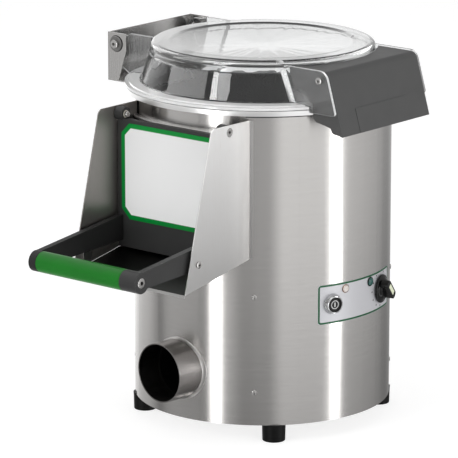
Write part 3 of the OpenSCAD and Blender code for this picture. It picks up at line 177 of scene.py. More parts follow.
class NodeSheet:
    """The node sheet of a material or a world, with short calls for its nodes."""

    def __init__(self, owner: Union[bpy.types.Material, bpy.types.World], place: str = "Object") -> None:
        """Open the sheet.

        Args:
            owner: the material or the world.
            place: the coordinates that patterns are read at.
        """
        owner.use_nodes = True
        self.tree = owner.node_tree
        self.place = self.make("TexCoord", place)

    def feed(self, socket: bpy.types.NodeSocket, value: object) -> None:
        """Link a value to a socket, or set the socket's own value.

        Args:
            socket: the socket.
            value: a node's output, or a plain value.
        """
        if isinstance(value, Value):
            self.tree.links.new(value.socket, socket)
        elif socket.type == "RGBA" and isinstance(value, tuple):
            socket.default_value = (*value[:3], 1.0)
        else:
            socket.default_value = value

    def make(self, kind: str, output: Union[int, str] = 0, inputs: Optional[dict] = None,
             **settings: object) -> Value:
        """Add a node.

        Args:
            kind: the node's type.
            output: which of its outputs is wanted.
            inputs: what its sockets are fed with.
            settings: values for the node's own properties.

        Returns:
            The output.
        """
        made = self.tree.nodes.new("ShaderNode" + kind)
        for key, value in settings.items():
            setattr(made, key, value)
        for key, value in (inputs or {}).items():
            self.feed(made.inputs[key], value)
        return Value(self, made.outputs[output])

    def put(self, **sockets: object) -> None:
        """Feed the shader's sockets, named with underscores for spaces."""
        for key, value in sockets.items():
            self.feed(self.tree.nodes["Principled BSDF"].inputs[key.replace("_", " ")], value)

    def math(self, operation: str, a: object, b: object = 0.0) -> Value:
        """Combine numbers with a Math node."""
        return self.make("Math", 0, {0: a, 1: b}, operation=operation)

    def vector(self, operation: str, a: object, b: object = (0.0, 0.0, 0.0)) -> Value:
        """Combine vectors with a Vector Math node."""
        return self.make("VectorMath", "Vector", {0: a, 1: b}, operation=operation)

    def split(self, vector: Value) -> list[Value]:
        """Take a vector apart."""
        made = self.make("SeparateXYZ", 0, {0: vector}).socket.node
        return [Value(self, output) for output in made.outputs]

    def build(self, x: object, y: object, z: object) -> Value:
        """Put a vector together."""
        return self.make("CombineXYZ", 0, {0: x, 1: y, 2: z})

    def length(self, a: object, b: object) -> Value:
        """Give the length of a flat vector."""
        return self.make("VectorMath", "Value", {0: self.build(a, b, 0.0), 1: (0.0, 0.0, 0.0)}, operation="LENGTH")

    def noise(self, scale: float, detail: float = 2.0, vector: Optional[Value] = None) -> Value:
        """Give a noise pattern's value.

        Args:
            scale: how many times the pattern repeats in a metre.
            detail: how many finer layers it has.
            vector: the place that the pattern is read at, where it isn't the plain one.

        Returns:
            The value, which is about 0.5 on average.
        """
        return self.make("TexNoise", 0, {"Vector": vector or self.place, "Scale": scale, "Detail": detail})

    def cells(self, scale: float) -> tuple[Value, Value]:
        """Give the distance and the colour of a cell pattern."""
        made = self.make("TexVoronoi", 0, {"Vector": self.place, "Scale": scale}).socket.node
        return Value(self, made.outputs["Distance"]), Value(self, made.outputs["Color"])

    def spread(self, value: Value, low: float = 0.0, high: float = 1.0, a: float = 0.3, b: float = 0.7) -> Value:
        """Carry a value from the range a to b over to the range low to high."""
        return self.make("MapRange", 0, {"Value": value, "From Min": a, "From Max": b, "To Min": low, "To Max": high})

    def blend(self, share: object, first: object, second: object) -> Value:
        """Blend two colours, by how much of the second there is."""
        return self.make("Mix", 2, {0: share, 6: first, 7: second}, data_type="RGBA")

    def relief(self, height: Value, depth: float, strength: float) -> None:
        """Raise the surface by a height pattern.

        Args:
            height: the pattern.
            depth: the height of a full step, in metres.
            strength: how much of it shows.
        """
        self.put(Normal=self.make("Bump", 0, {"Strength": strength, "Distance": depth, "Height": height}))

    def band(self, value: Value, middle: float, half: float, soft: float) -> Value:
        """Give 1 where a value is near the middle, and 0 away from it, in millimetres."""
        return self.spread(abs(value - middle * MM), 1.0, 0.0, (half - soft) * MM, (half + soft) * MM)


@dataclass(frozen=True)
class Finish:
    """A finish: the material that it makes, and the slot of the record that it belongs to."""

    name: str
    slot: str

    def draw(self, sheet: NodeSheet) -> None:
        """Draw the nodes."""

    def build(self) -> bpy.types.Material:
        """Make the material.

        Returns:
            The material.
        """
        material = bpy.data.materials.new(self.name)
        self.draw(NodeSheet(material))
        return material


@dataclass(frozen=True)
class BrushedSteel(Finish):
    """Stainless steel with fine scratches in one direction.

    It can carry painted shade: darker towards the bottom, towards the drum and on faces that look up.
    """

    slot: str = "drum_steel"
    grain: Grain = Grain.AROUND
    tint: Colour = (0.63, 0.615, 0.6)
    roughness: float = 0.26
    stretch: float = 0.3
    scratch: float = 1.0
    # The next five fields paint shade into the colour: how much darker low down, by the drum and on up-facing faces,
    # and where the first two run.
    low_shade: float = 0.0
    near: float = 0.0
    inside: float = 1.0
    low_shade_z: tuple[float, float] = (0.24, 0.44)
    near_y: tuple[float, float] = (-0.172, -0.148)
    nudge: Place = (0.0007, 0.0011, 0.0009)
    fine: float = 2600.0
    coarse: float = 420.0
    drawn_out: float = 0.02
    ring_r: float = 0.04

    def draw(self, sheet: NodeSheet) -> None:
        """Draw the nodes.

        Args:
            sheet: the material's node sheet.
        """
        x, y, z = sheet.split(sheet.place)
        cosine, sine = math.cos(math.radians(DRAIN_YAW)), math.sin(math.radians(DRAIN_YAW))
        u = x * cosine - y * sine - DRAIN_SIDE * MM
        v = z - DRAIN_Z * MM
        along, across, run = {
            Grain.AROUND: (sheet.math("ARCTAN2", y, x) * (DRUM_R * MM), (z, sheet.length(x, y)),
                           sheet.vector("NORMALIZE", sheet.build(y * -1.0, x, 0.0))),
            Grain.RING: (sheet.math("ARCTAN2", v, u) * self.ring_r, (y, sheet.length(u, v)),
                         sheet.vector("NORMALIZE", sheet.build(v * -cosine, v * sine, u))),
            Grain.UPRIGHT: (z, (x, y), (0.0, 0.0, 1.0)),
            Grain.DEEP: (y, (x, z), (0.0, 1.0, 0.0)),
        }[self.grain]
        thin = sheet.build(along * self.drawn_out, *across)
        lines = sheet.noise(self.fine, 3.0, thin)
        tone = lines * 0.75 + sheet.noise(self.coarse, 2.0, thin) * 0.25
        shade = sheet.blend(sheet.spread(tone), toned(self.tint, 0.95), toned(self.tint, 1.04))
        normal = sheet.make("NewGeometry", "Normal")
        # Painted shade: darker where the wall comes near the drum.
        if self.near:
            shade = sheet.blend(sheet.spread(y, 0.0, 1.0, *self.near_y), shade, toned(self.tint, 1 - self.near))
        # Painted shade: darker towards the bottom.
        if self.low_shade:
            shade = sheet.blend(sheet.spread(z, self.low_shade, 0.0, *self.low_shade_z), shade, toned(self.tint, 1 - self.low_shade))
        # Painted shade: darker on faces that look up.
        if self.inside < 1:
            upward = sheet.spread(sheet.split(normal)[2], 0.0, 1.0, 0.1, 0.3)
            shade = sheet.blend(upward, shade, toned(self.tint, self.inside))
        cross = (normal, run) if isinstance(run, tuple) else (run, normal)
        tangent = sheet.vector("ADD", sheet.vector("CROSS_PRODUCT", *cross), self.nudge)
        rough = sheet.spread(tone, -0.02, 0.02) + sheet.spread(sheet.noise(9.0, 3.0), -0.012, 0.012)
        sheet.put(Base_Color=shade, Metallic=1.0, Roughness=rough + self.roughness, Tangent=tangent,
                  Anisotropic=self.stretch)
        sheet.relief(lines, 0.00002, 0.05 * self.scratch)


@dataclass(frozen=True)
class BrightSteel(Finish):
    """Turned or polished steel, with faint wear."""

    slot: str = "screw_steel"
    tint: Colour = (0.5, 0.49, 0.48)
    roughness: float = 0.27
    texture: float = 0.2

    def draw(self, sheet: NodeSheet) -> None:
        """Draw the nodes.

        Args:
            sheet: the material's node sheet.
        """
        wear = sheet.noise(260.0, 4.0)
        sheet.put(Base_Color=sheet.blend(sheet.spread(wear), toned(self.tint, 0.86), self.tint), Metallic=1.0,
                  Roughness=sheet.spread(wear, self.roughness - 0.04, self.roughness + 0.06))
        sheet.relief(sheet.noise(2400.0), 0.00001, self.texture)


@dataclass(frozen=True)
class Moulded(Finish):
    """Moulded plastic or rubber with a fine grain."""

    colour: Colour
    roughness: float = 0.5
    grain: float = 0.00004
    variation: float = 0.08
    shine: float = 0.5

    def draw(self, sheet: NodeSheet) -> None:
        """Draw the nodes.

        Args:
            sheet: the material's node sheet.
        """
        cloud = sheet.noise(34.0, 4.0)
        low, high = toned(self.colour, 1 - self.variation), toned(self.colour, 1 + self.variation)
        sheet.put(Base_Color=sheet.blend(sheet.spread(cloud), low, high), Specular_IOR_Level=self.shine,
                  Roughness=sheet.spread(cloud, self.roughness - 0.03, self.roughness + 0.04))
        sheet.relief(sheet.cells(1500.0)[0], self.grain, 0.35)


@dataclass(frozen=True)
class ClearPlastic(Finish):
    """Clear moulded plastic with faint rubbing marks."""

    slot: str = "clear_plastic"
    colour: Colour = (0.88, 0.885, 0.885)
    roughness: float = 0.015
    clarity: float = 1.0
    density: float = 1.49

    def draw(self, sheet: NodeSheet) -> None:
        """Draw the nodes.

        Args:
            sheet: the material's node sheet.
        """
        sheet.put(Base_Color=self.colour, IOR=self.density, Transmission_Weight=self.clarity,
                  Roughness=sheet.spread(sheet.noise(60.0, 4.0), self.roughness, self.roughness + 0.02))
        sheet.relief(sheet.noise(14.0, 1.0), 0.0003, 0.03)


@dataclass(frozen=True)
class FrostedGlowEdge(ClearPlastic):
    """The sawn and flamed edges of the clear lid, frosted and painted milky white so that they glow where the sheet
    ends: partly real frosting, partly a painted highlight.
    """

    colour: Colour = (0.96, 0.97, 0.97)
    roughness: float = 0.22
    clarity: float = 0.25

    def draw(self, sheet: NodeSheet) -> None:
        """Draw the nodes.

        Args:
            sheet: the material's node sheet.
        """
        marks = sheet.noise(420.0, 3.0)
        sheet.put(Base_Color=self.colour, IOR=self.density, Transmission_Weight=self.clarity,
                  Roughness=sheet.spread(marks, self.roughness - 0.05, self.roughness + 0.1))
        sheet.relief(marks, 0.0001, 0.3)


@dataclass(frozen=True)
class Grit(Finish):
    """An abrasive coat: sharp grains in a dull binder."""

    dark: Colour
    light: Colour
    grains: float = 620.0

    def draw(self, sheet: NodeSheet) -> None:
        """Draw the nodes.

        Args:
            sheet: the material's node sheet.
        """
        height, tone = sheet.cells(self.grains)
        share = sheet.split(tone)[0]
        mixed = share * sheet.spread(sheet.noise(22.0, 3.0), 0.5, 1.0)
        sheet.put(Base_Color=sheet.blend(mixed, self.dark, self.light), Specular_IOR_Level=0.4,
                  Roughness=sheet.spread(share, 0.6, 0.95, 0.0, 1.0))
        sheet.relief(height, 0.0009, 0.9)


@dataclass(frozen=True)
class CastMetal(Finish):
    """Cast or painted metal with an orange-peel surface."""

    colour: Colour
    metallic: float = 1.0
    roughness: float = 0.5

    def draw(self, sheet: NodeSheet) -> None:
        """Draw the nodes.

        Args:
            sheet: the material's node sheet.
        """
        peel = sheet.noise(320.0, 3.0)
        tone = sheet.blend(sheet.spread(sheet.noise(28.0, 4.0)), toned(self.colour, 0.8), self.colour)
        sheet.put(Base_Color=tone, Metallic=self.metallic,
                  Roughness=sheet.spread(peel, self.roughness - 0.08, self.roughness + 0.1))
        sheet.relief(peel, 0.00025, 0.5)


@dataclass(frozen=True)
class DoorPlate(Finish):
    """The printed plate on the door: a pale field inside a green frame with cut corners, painted lighter at its foot
    and darker at its top.
    """

    field: Colour = grey(0.77)
    foot: Colour = grey(0.985)
    frame: Colour = (0.0, 0.225, 0.033)
    centre: float = 355.2
    half_width: float = 85.0
    half_height: float = 65.5
    cut: float = 14.0
    border: float = 6.3
    soft: float = 0.25

    def draw(self, sheet: NodeSheet) -> None:
        """Draw the nodes.

        Args:
            sheet: the material's node sheet.
        """
        x, _, z = sheet.split(sheet.place)
        side, rise = abs(x), abs(z - self.centre * MM)
        slant = (self.half_width + self.half_height - self.cut) * MM
        edge = sheet.math("MINIMUM", self.half_width * MM - side, self.half_height * MM - rise)
        inside = sheet.math("MINIMUM", edge, (slant - (side + rise)) * math.sqrt(0.5))
        share = sheet.spread(inside, 0.0, 1.0, (self.border - self.soft) * MM, (self.border + self.soft) * MM)
        low, high = (self.centre - self.half_height) * MM, (self.centre + self.half_height) * MM
        # Painted light and shade: the field runs lighter towards its foot and darker towards its top, evening out how
        # the lamps fall on the plate.
        pale = sheet.blend(sheet.spread(z, 0.0, 1.0, low, high), self.foot, self.field)
        speck = sheet.noise(900.0)
        sheet.put(Base_Color=sheet.blend(share, self.frame, pale), Roughness=sheet.spread(speck, 0.3, 0.36),
                  Specular_IOR_Level=0.22)
        sheet.relief(speck, 0.00001, 0.15)


@dataclass(frozen=True)
class ControlPlate(Finish):
    """The printed plate behind the controls: silver, with a green line and a ring of ticks."""

    field: Colour = (0.56, 0.56, 0.585)
    line: Colour = (0.0, 0.075, 0.024)
    half_width: float = 74.6
    half_height: float = 27.0
    side_shift: float = -1.5
    corner: float = 3.0
    inset: float = 1.4
    plate_r: float = 0.1755
    line_half: float = 1.25
    tick_r: float = 23.5
    tick_half: float = 1.3
    ticks: float = 12.0

    def draw(self, sheet: NodeSheet) -> None:
        """Draw the nodes.

        Args:
            sheet: the material's node sheet.
        """
        x, y, z = sheet.split(sheet.place)
        inner = self.corner + self.inset
        side = abs(y - self.side_shift * MM) - (self.half_width - inner) * MM
        rise = abs(z - CONTROL_Z * MM) - (self.half_height - inner) * MM
        outside = sheet.length(sheet.math("MAXIMUM", side, 0.0), sheet.math("MAXIMUM", rise, 0.0))
        within = sheet.math("MINIMUM", sheet.math("MAXIMUM", side, rise), 0.0)
        line = sheet.band(outside + within, self.corner, self.line_half, 0.15)
        arc = (sheet.math("ARCTAN2", x, y * -1.0) - math.radians(TIMER_AZIMUTH)) * self.plate_r
        above = z - TIMER_Z * MM
        ring = sheet.band(sheet.length(arc, above), self.tick_r, self.tick_half, 0.1)
        beat = sheet.math("COSINE", sheet.math("ARCTAN2", arc, above) * self.ticks)
        tick = ring * sheet.spread(beat, 0.0, 1.0, 0.86, 0.93)
        speck = sheet.noise(1300.0)
        marked = sheet.blend(tick, sheet.blend(sheet.spread(speck), toned(self.field, 0.93), self.field), grey(0.02))
        sheet.put(Base_Color=sheet.blend(line, marked, self.line), Metallic=0.25,
                  Roughness=sheet.spread(speck, 0.34, 0.42))
        sheet.relief(speck, 0.00001, 0.2)


@dataclass(frozen=True)
class CapPrint(Finish):
    """The start cap's finish: black, with a white ring and bar."""

    ring_r: float = 5.4
    ring_half: float = 0.5
    bar: tuple[float, float] = (0.85, 3.0)

    def draw(self, sheet: NodeSheet) -> None:
        """Draw the nodes.

        Args:
            sheet: the material's node sheet.
        """
        x, y, z = sheet.split(sheet.place)
        angle = math.radians(START_AZIMUTH)
        side = x * math.cos(angle) + y * math.sin(angle)
        rise = z - CONTROL_Z * MM
        ring = sheet.band(sheet.length(side, rise), self.ring_r, self.ring_half, 0.12)
        stem = sheet.band(side, 0.0, self.bar[0], 0.1) * sheet.band(rise, 0.0, self.bar[1], 0.1)
        share = sheet.math("MINIMUM", ring + stem, 1.0)
        grain = sheet.noise(1500.0)
        sheet.put(Base_Color=sheet.blend(share, grey(0.003), grey(0.62)), Specular_IOR_Level=0.25,
                  Roughness=sheet.spread(grain, 0.3, 0.4))
        sheet.relief(grain, 0.00001, 0.3)


DARK, BLACK = "dark_plastic", "black_plastic"
UPRIGHT, DEEP, RING = Grain.UPRIGHT, Grain.DEEP, Grain.RING
FINISHES: dict[str, Finish] = {
    "drum": BrushedSteel("drum_brushed", roughness=0.21, stretch=0.86),
    "rim": BrushedSteel("rim_spun", tint=(0.96, 0.955, 0.95), roughness=0.3),
    "collar": BrushedSteel("collar_turned", tint=(0.98, 0.975, 0.97), roughness=0.36),
    # Painted shade on the chute: the door frame and the right wall darken towards the bottom, the right wall darkens
    # by the drum, and the floor darkens on faces that look up.
    "chute": BrushedSteel("chute_brushed", grain=UPRIGHT, tint=(0.76, 0.74, 0.725), roughness=0.3, stretch=0.4,
                          scratch=3.0, low_shade=0.34),
    "chute_side": BrushedSteel("chute_side_brushed", grain=UPRIGHT, tint=(0.99, 0.975, 0.96), roughness=0.3,
                               stretch=0.4, scratch=3.0, low_shade=0.63, near=0.38),
    # A darker copy of the chute steel for the left wall: painted shade for its inner face.
    "chute_inner_shade": BrushedSteel("chute_inner_brushed", grain=UPRIGHT, tint=(0.4, 0.38, 0.365), roughness=0.42,
                                stretch=0.8),
    "bracket": BrushedSteel("bracket_brushed", grain=UPRIGHT, tint=(0.56, 0.55, 0.54)),
    "tray": BrushedSteel("tray_brushed", grain=DEEP, tint=(0.6, 0.59, 0.58), roughness=0.32, stretch=0.4),
    "chute_tray": BrushedSteel("chute_floor_brushed", grain=DEEP, tint=(0.6, 0.59, 0.58), roughness=0.36,
                               stretch=0.4, inside=0.06),
    "pipe": BrushedSteel("pipe_turned", grain=RING, tint=(0.31, 0.295, 0.287), roughness=0.24, stretch=0.6,
                         scratch=2.0),
    "joint": BrushedSteel("drain_joint_drawn", grain=RING, tint=(0.5, 0.485, 0.475), roughness=0.36),
    "screw": BrightSteel("screw_steel_bright"),
    "head": BrightSteel("screw_head_bright", tint=(0.62, 0.61, 0.6), roughness=0.22),
    "washer": BrightSteel("washer_dull", tint=(0.3, 0.295, 0.29), roughness=0.36),
    "pin": BrightSteel("turned_steel", tint=(0.55, 0.54, 0.53), roughness=0.3),
    "chrome": BrightSteel("chrome_plate", "chrome", (0.62, 0.62, 0.63), 0.1, 0.03),
    "rose": BrightSteel("lamp_ring_bronze", "chrome", (0.27, 0.19, 0.15), 0.25),
    "clear": ClearPlastic("lid_clear"),
    "ear": ClearPlastic("lid_ear_clear", clarity=0.955),
    "ledge": ClearPlastic("lid_ledge_clear", colour=grey(0.7)),
    # The flange faces are milky white: a painted highlight for the bright band that reflections give along the rim.
    "flange": ClearPlastic("lid_flange_painted_highlight", colour=grey(0.96), roughness=0.08, clarity=0.3),
    "lamp_clear": ClearPlastic("lamp_frosted", "lamp_clear", (0.93, 0.86, 0.82), 0.2, 0.35),
    "edge": FrostedGlowEdge("lid_edge_glow"),
    # A darker copy of the edge finish for the back ear's edges: painted shade, for the dark outline they show.
    "edge_dim": FrostedGlowEdge("lid_edge_dim", colour=grey(0.4)),
    # The drain elbow is made near black: painted shade for the dark inside of the pipe.
    "elbow_shade": Moulded("elbow_painted_shade_black", BLACK, grey(0.002), 0.8, shine=0.05),
    "black": Moulded("black_moulded", BLACK, grey(0.003), 0.12, 0.00001, shine=0.25),
    "handle": Moulded("handle_grey", DARK, grey(0.06), 0.5, 0.00005),
    "door": Moulded("door_charcoal", DARK, grey(0.029), 0.45, shine=0.35),
    # A darker copy of the door's charcoal for the left arm: painted shade for its inner face.
    "door_shade": Moulded("door_charcoal_painted_shade", DARK, grey(0.014), 0.5, shine=0.3),
    "grip": Moulded("grip_green", "green_plastic", (0.005, 0.155, 0.01), 0.36, 0.00003, 0.05, 0.25),
    "bush": Moulded("bush_ivory", "bush_plastic", (0.72, 0.69, 0.6), 0.5),
    "cream": Moulded("pointer_cream", "bush_plastic", (0.8, 0.84, 0.62), 0.4, 0.00001, 0.03),
    "rubber": Moulded("foot_rubber", "rubber", grey(0.004), 0.45, 0.00004, 0.2, 0.15),
    "seal": Moulded("seal_silicone", "seal_rubber", grey(0.7), 0.6, 0.00003),
    "lamp_green": Moulded("lamp_teal", "lamp_green", (0.002, 0.06, 0.05), 0.16, 0.00001, 0.15),
    "magnet": CastMetal("magnet_ferrite", "magnet", grey(0.05), 0.3, 0.6),
    "cast": CastMetal("cast_aluminium_raw", "cast_aluminium", (0.62, 0.62, 0.63)),
    "motor": CastMetal("motor_paint_grey", "motor_paint", (0.05, 0.065, 0.085), 0.0, 0.45),
    "liner": Grit("liner_grit", "grit", grey(0.016), grey(0.075)),
    "disc": Grit("disc_grit", "cast_aluminium", grey(0.02), grey(0.1), 480.0),
    "door_plate": DoorPlate("door_plate_print", "label_film"),
    "control_plate": ControlPlate("control_plate_print", "control_film"),
    "cap": CapPrint("start_cap_print", BLACK),
}
KEPT = {
    "drum": "outer_shell base_plate",
    "screw": "shell_rivets foot_nuts disc_nut",
    "seal": "lid_seal",
    "pin": "latch_springs grip_rod start_spring water_inlet main_shaft shaft_bearings motor_pulley motor_rotor",
    "magnet": "latch_magnet door_magnet",
    "chute_tray": "chute_floor",
    "chute": "door_frame",
    "rubber": "door_seal shaft_seal drive_belt",
    "door_plate": "door_label",
    "bush": "door_bushes",
    "elbow_shade": "drain_elbow",
    "control_plate": "control_label",
    "lamp_clear": "mains_lamp",
    "lamp_green": "run_lamp",
    "black": "start_switch timer_body relay_box safety_sensors cable_gland",
    "tray": "chamber_floor motor_mount",
    "liner": "abrasive_liner",
    "disc": "peeling_disc",
    "cast": "bearing_housing driven_pulley",
    "motor": "motor_housing",
}


class Bench:
    """The workbench: the moves that pieces are made with."""

    def __init__(self) -> None:
        """Set up the bench, with no material made yet."""
        self.made: dict[str, bpy.types.Material] = {}
        self.count = 0

    def material(self, key: str) -> bpy.types.Material:
        """Give a finish's material, and build it the first time.

        Args:
            key: the finish's key.

        Returns:
            The material.
        """
        if key not in self.made:
            self.made[key] = FINISHES[key].build()
        return self.made[key]

    @staticmethod
    def clear() -> None:
        """Leave edit mode and deselect everything."""
        active = bpy.context.view_layer.objects.active
        if active is not None and active.mode != "OBJECT":
            bpy.ops.object.mode_set(mode="OBJECT")
        bpy.ops.object.select_all(action="DESELECT")

    def take(self, *pieces: Piece) -> None:
        """Select these pieces alone, with the first one active.

        Args:
            pieces: the pieces.
        """
        self.clear()
        for piece in pieces:
            piece.select_set(True)
        bpy.context.view_layer.objects.active = pieces[0]

    def edit(self, piece: Piece) -> None:
        """Open a piece in edit mode with all of it selected and its doubles merged.

        Args:
            piece: the piece.
        """
        self.take(piece)
        bpy.ops.object.mode_set(mode="EDIT")
        bpy.ops.mesh.select_all(action="SELECT")
        bpy.ops.mesh.remove_doubles(threshold=MERGE_M)

    def trace(self, points: Iterable[Place]) -> Piece:
        """Draw a line of edges, left in edit mode with all of it selected.

        Args:
            points: the points of the line, in millimetres.

        Returns:
            The piece that holds the line.
        """
        self.clear()
        bpy.ops.mesh.primitive_plane_add(size=MM, location=(0, 0, 0))
        bpy.ops.object.mode_set(mode="EDIT")
        bpy.ops.mesh.select_all(action="SELECT")
        bpy.ops.mesh.merge(type="CENTER")
        last = Vector((0, 0, 0))
        for index, point in enumerate(points):
            place = Vector(point) * MM
            if index == 0:
                bpy.ops.transform.translate(value=place - last)
            else:
                bpy.ops.mesh.extrude_region_move(TRANSFORM_OT_translate={"value": place - last})
            last = place
        bpy.ops.mesh.select_all(action="SELECT")
        return bpy.context.object

    def mend(self, piece: Piece) -> Piece:
        """Merge doubles and turn all faces outwards.

        Args:
            piece: the piece.

        Returns:
            The piece.
        """
        self.edit(piece)
        bpy.ops.mesh.normals_make_consistent(inside=False)
        bpy.ops.object.mode_set(mode="OBJECT")
        return piece

    def lathe(self, profile: Pairs, steps: int = 48) -> Piece:
        """Turn a profile about z.

        Args:
            profile: radius and height of each point, in millimetres. One that starts off the axis is closed.
            steps: the number of facets.

        Returns:
            The turned piece.
        """
        closing = [profile[0]] if profile[0][0] else []
        piece = self.trace((r, 0.0, z) for r, z in [*profile, *closing])
        bpy.ops.mesh.spin(steps=steps, angle=math.tau, center=(0, 0, 0), axis=(0, 0, 1))
        return self.mend(piece)

    def sweep(self, outline: Pairs, low: float, steps: Sequence[Place]) -> Piece:
        """Draw a flat outline along a row of steps.

        Args:
            outline: the outline's corners in x and y, in millimetres.
            low: the height that it starts at.
            steps: each move that it makes, in millimetres.

        Returns:
            The closed piece.
        """
        piece = self.trace((x, y, low) for x, y in outline)
        bpy.ops.mesh.edge_face_add()
        for step in steps:
            bpy.ops.mesh.extrude_region_move(TRANSFORM_OT_translate={"value": Vector(step) * MM})
        return self.mend(piece)

    def hexagon(self, radius: float, low: float, high: float) -> Piece:
        """Add a six-sided bar along z, in millimetres.

        Args:
            radius: how far its corners are from z.
            low: the height of its foot.
            high: the height of its top.

        Returns:
            The bar.
        """
        self.clear()
        bpy.ops.mesh.primitive_cylinder_add(vertices=6, radius=radius * MM, depth=(high - low) * MM,
                                            location=(0, 0, (high + low) / 2 * MM))
        return self.settle(bpy.context.object)

    def box(self, low: Place, high: Place) -> Piece:
        """Add a block between two corners, in millimetres.

        Args:
            low: the lowest corner.
            high: the opposite corner.

        Returns:
            The block.
        """
        self.clear()
        bpy.ops.mesh.primitive_cube_add(size=1.0, location=[(a + b) / 2 * MM for a, b in zip(low, high)])
        bpy.context.object.scale = [(b - a) * MM for a, b in zip(low, high)]
        return self.settle(bpy.context.object)

    def settle(self, piece: Piece, matrix: Optional[Matrix] = None) -> Piece:
        """Move a piece by a matrix, and bake its place into its mesh.

        Args:
            piece: the piece.
            matrix: the move, where there is one.

        Returns:
            The piece.
        """
        if matrix is not None:
            piece.matrix_world = matrix @ piece.matrix_world
        self.take(piece)
        bpy.ops.object.transform_apply(location=True, rotation=True, scale=True)
        return piece

    def apply(self, piece: Piece, kind: str, **settings: object) -> None:
        """Add a modifier to a piece and apply it.

        Args:
            piece: the piece.
            kind: the modifier's type.
            settings: values for its properties.
        """
        self.take(piece)
        made = piece.modifiers.new(kind.title(), kind)
        for key, value in settings.items():
            setattr(made, key, value)
        bpy.ops.object.modifier_apply(modifier=made.name)

    def bevel(self, piece: Piece, width: float, segments: int = 2, angle: float = 32.0) -> None:
        """Round a piece's sharp edges, by a width in millimetres."""
        self.apply(piece, "BEVEL", width=width * MM, segments=segments, limit_method="ANGLE",
                   angle_limit=math.radians(angle), harden_normals=False)

    def cut(self, piece: Piece, cutter: Piece) -> None:
        """Cut a shape out of a piece."""
        self.apply(piece, "BOOLEAN", operation="DIFFERENCE", object=cutter, solver="EXACT")
        bpy.data.objects.remove(cutter)

    def join(self, pieces: Sequence[Piece]) -> Piece:
        """Join pieces into one object.

        Args:
            pieces: the pieces.

        Returns:
            The first piece, which now holds them all.
        """
        self.take(*pieces)
        if len(pieces) > 1:
            bpy.ops.object.join()
        return pieces[0]

    def twin(self, piece: Piece, matrix: Matrix) -> Piece:
        """Copy a piece with its own mesh, and place the copy.

        Args:
            piece: the piece.
            matrix: where the copy goes.

        Returns:
            The copy.
        """
        self.take(piece)
        bpy.ops.object.duplicate()
        return self.settle(bpy.context.object, matrix)

    def reuse(self, node: str, width: float, name: str, key: str, body: str, bend: float = 32.0,
              angle: float = 32.0) -> Piece:
        """Copy a CAD node, clean its mesh, round its edges and finish it in the node's place.

        Args:
            node: the node's name.
            width: the width of the rounding, in millimetres.
            name: the new piece's name.
            key: the finish that it wears.
            body: the CAD body that it rides on.
            bend: the sharpest bend that isn't rounded, in degrees.
            angle: edges sharper than this stay sharp, in degrees.

        Returns:
            The new piece.
        """
        self.take(frame["nodes"][node])
        bpy.ops.object.duplicate()
        piece = bpy.context.object
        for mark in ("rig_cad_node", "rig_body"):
            if mark in piece:
                del piece[mark]
        piece.parent = None
        piece.matrix_world = Matrix.Identity(4)
        bpy.ops.mesh.customdata_custom_splitnormals_clear()
        self.edit(piece)
        bpy.ops.mesh.dissolve_limited(angle_limit=math.radians(FLAT_DEGREES), delimit={"NORMAL"})
        bpy.ops.object.mode_set(mode="OBJECT")
        if width > 0:
            self.bevel(piece, width, 2, bend)
        return self.finish(piece, name, key, body, node, angle=angle)

    def finish(self, piece: Piece, name: str, key: str, body: str, *nodes: str, angle: float = 32.0) -> Piece:
        """Smooth, dress and register a finished piece.

        Args:
            piece: the piece.
            name: its name.
            key: the finish that it wears.
            body: the CAD body that it rides on.
            nodes: the CAD nodes that it stands for.
            angle: edges sharper than this stay sharp, in degrees.

        Returns:
            The piece.
        """
        self.take(piece)
        bpy.ops.object.shade_smooth_by_angle(angle=math.radians(angle))
        self.apply(piece, "WEIGHTED_NORMAL", keep_sharp=True, weight=60)
        piece.name = name
        piece.data.name = name
        piece.data.materials.clear()
        piece.data.materials.append(self.material(key))
        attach(piece, body)
        if nodes:
            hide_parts(*nodes)
        self.count += 1
        log.info("%s on %s in %s", name, body, key)
        return piece

    def dress(self, node: str, key: str) -> None:
        """Give a CAD node its finish.

        Args:
            node: the node's name.
            key: the finish's key.
        """
        for slot in frame["nodes"][node].material_slots:
            slot.link = "OBJECT"
            slot.material = self.material(key)
        log.info("%s in %s", node, key)


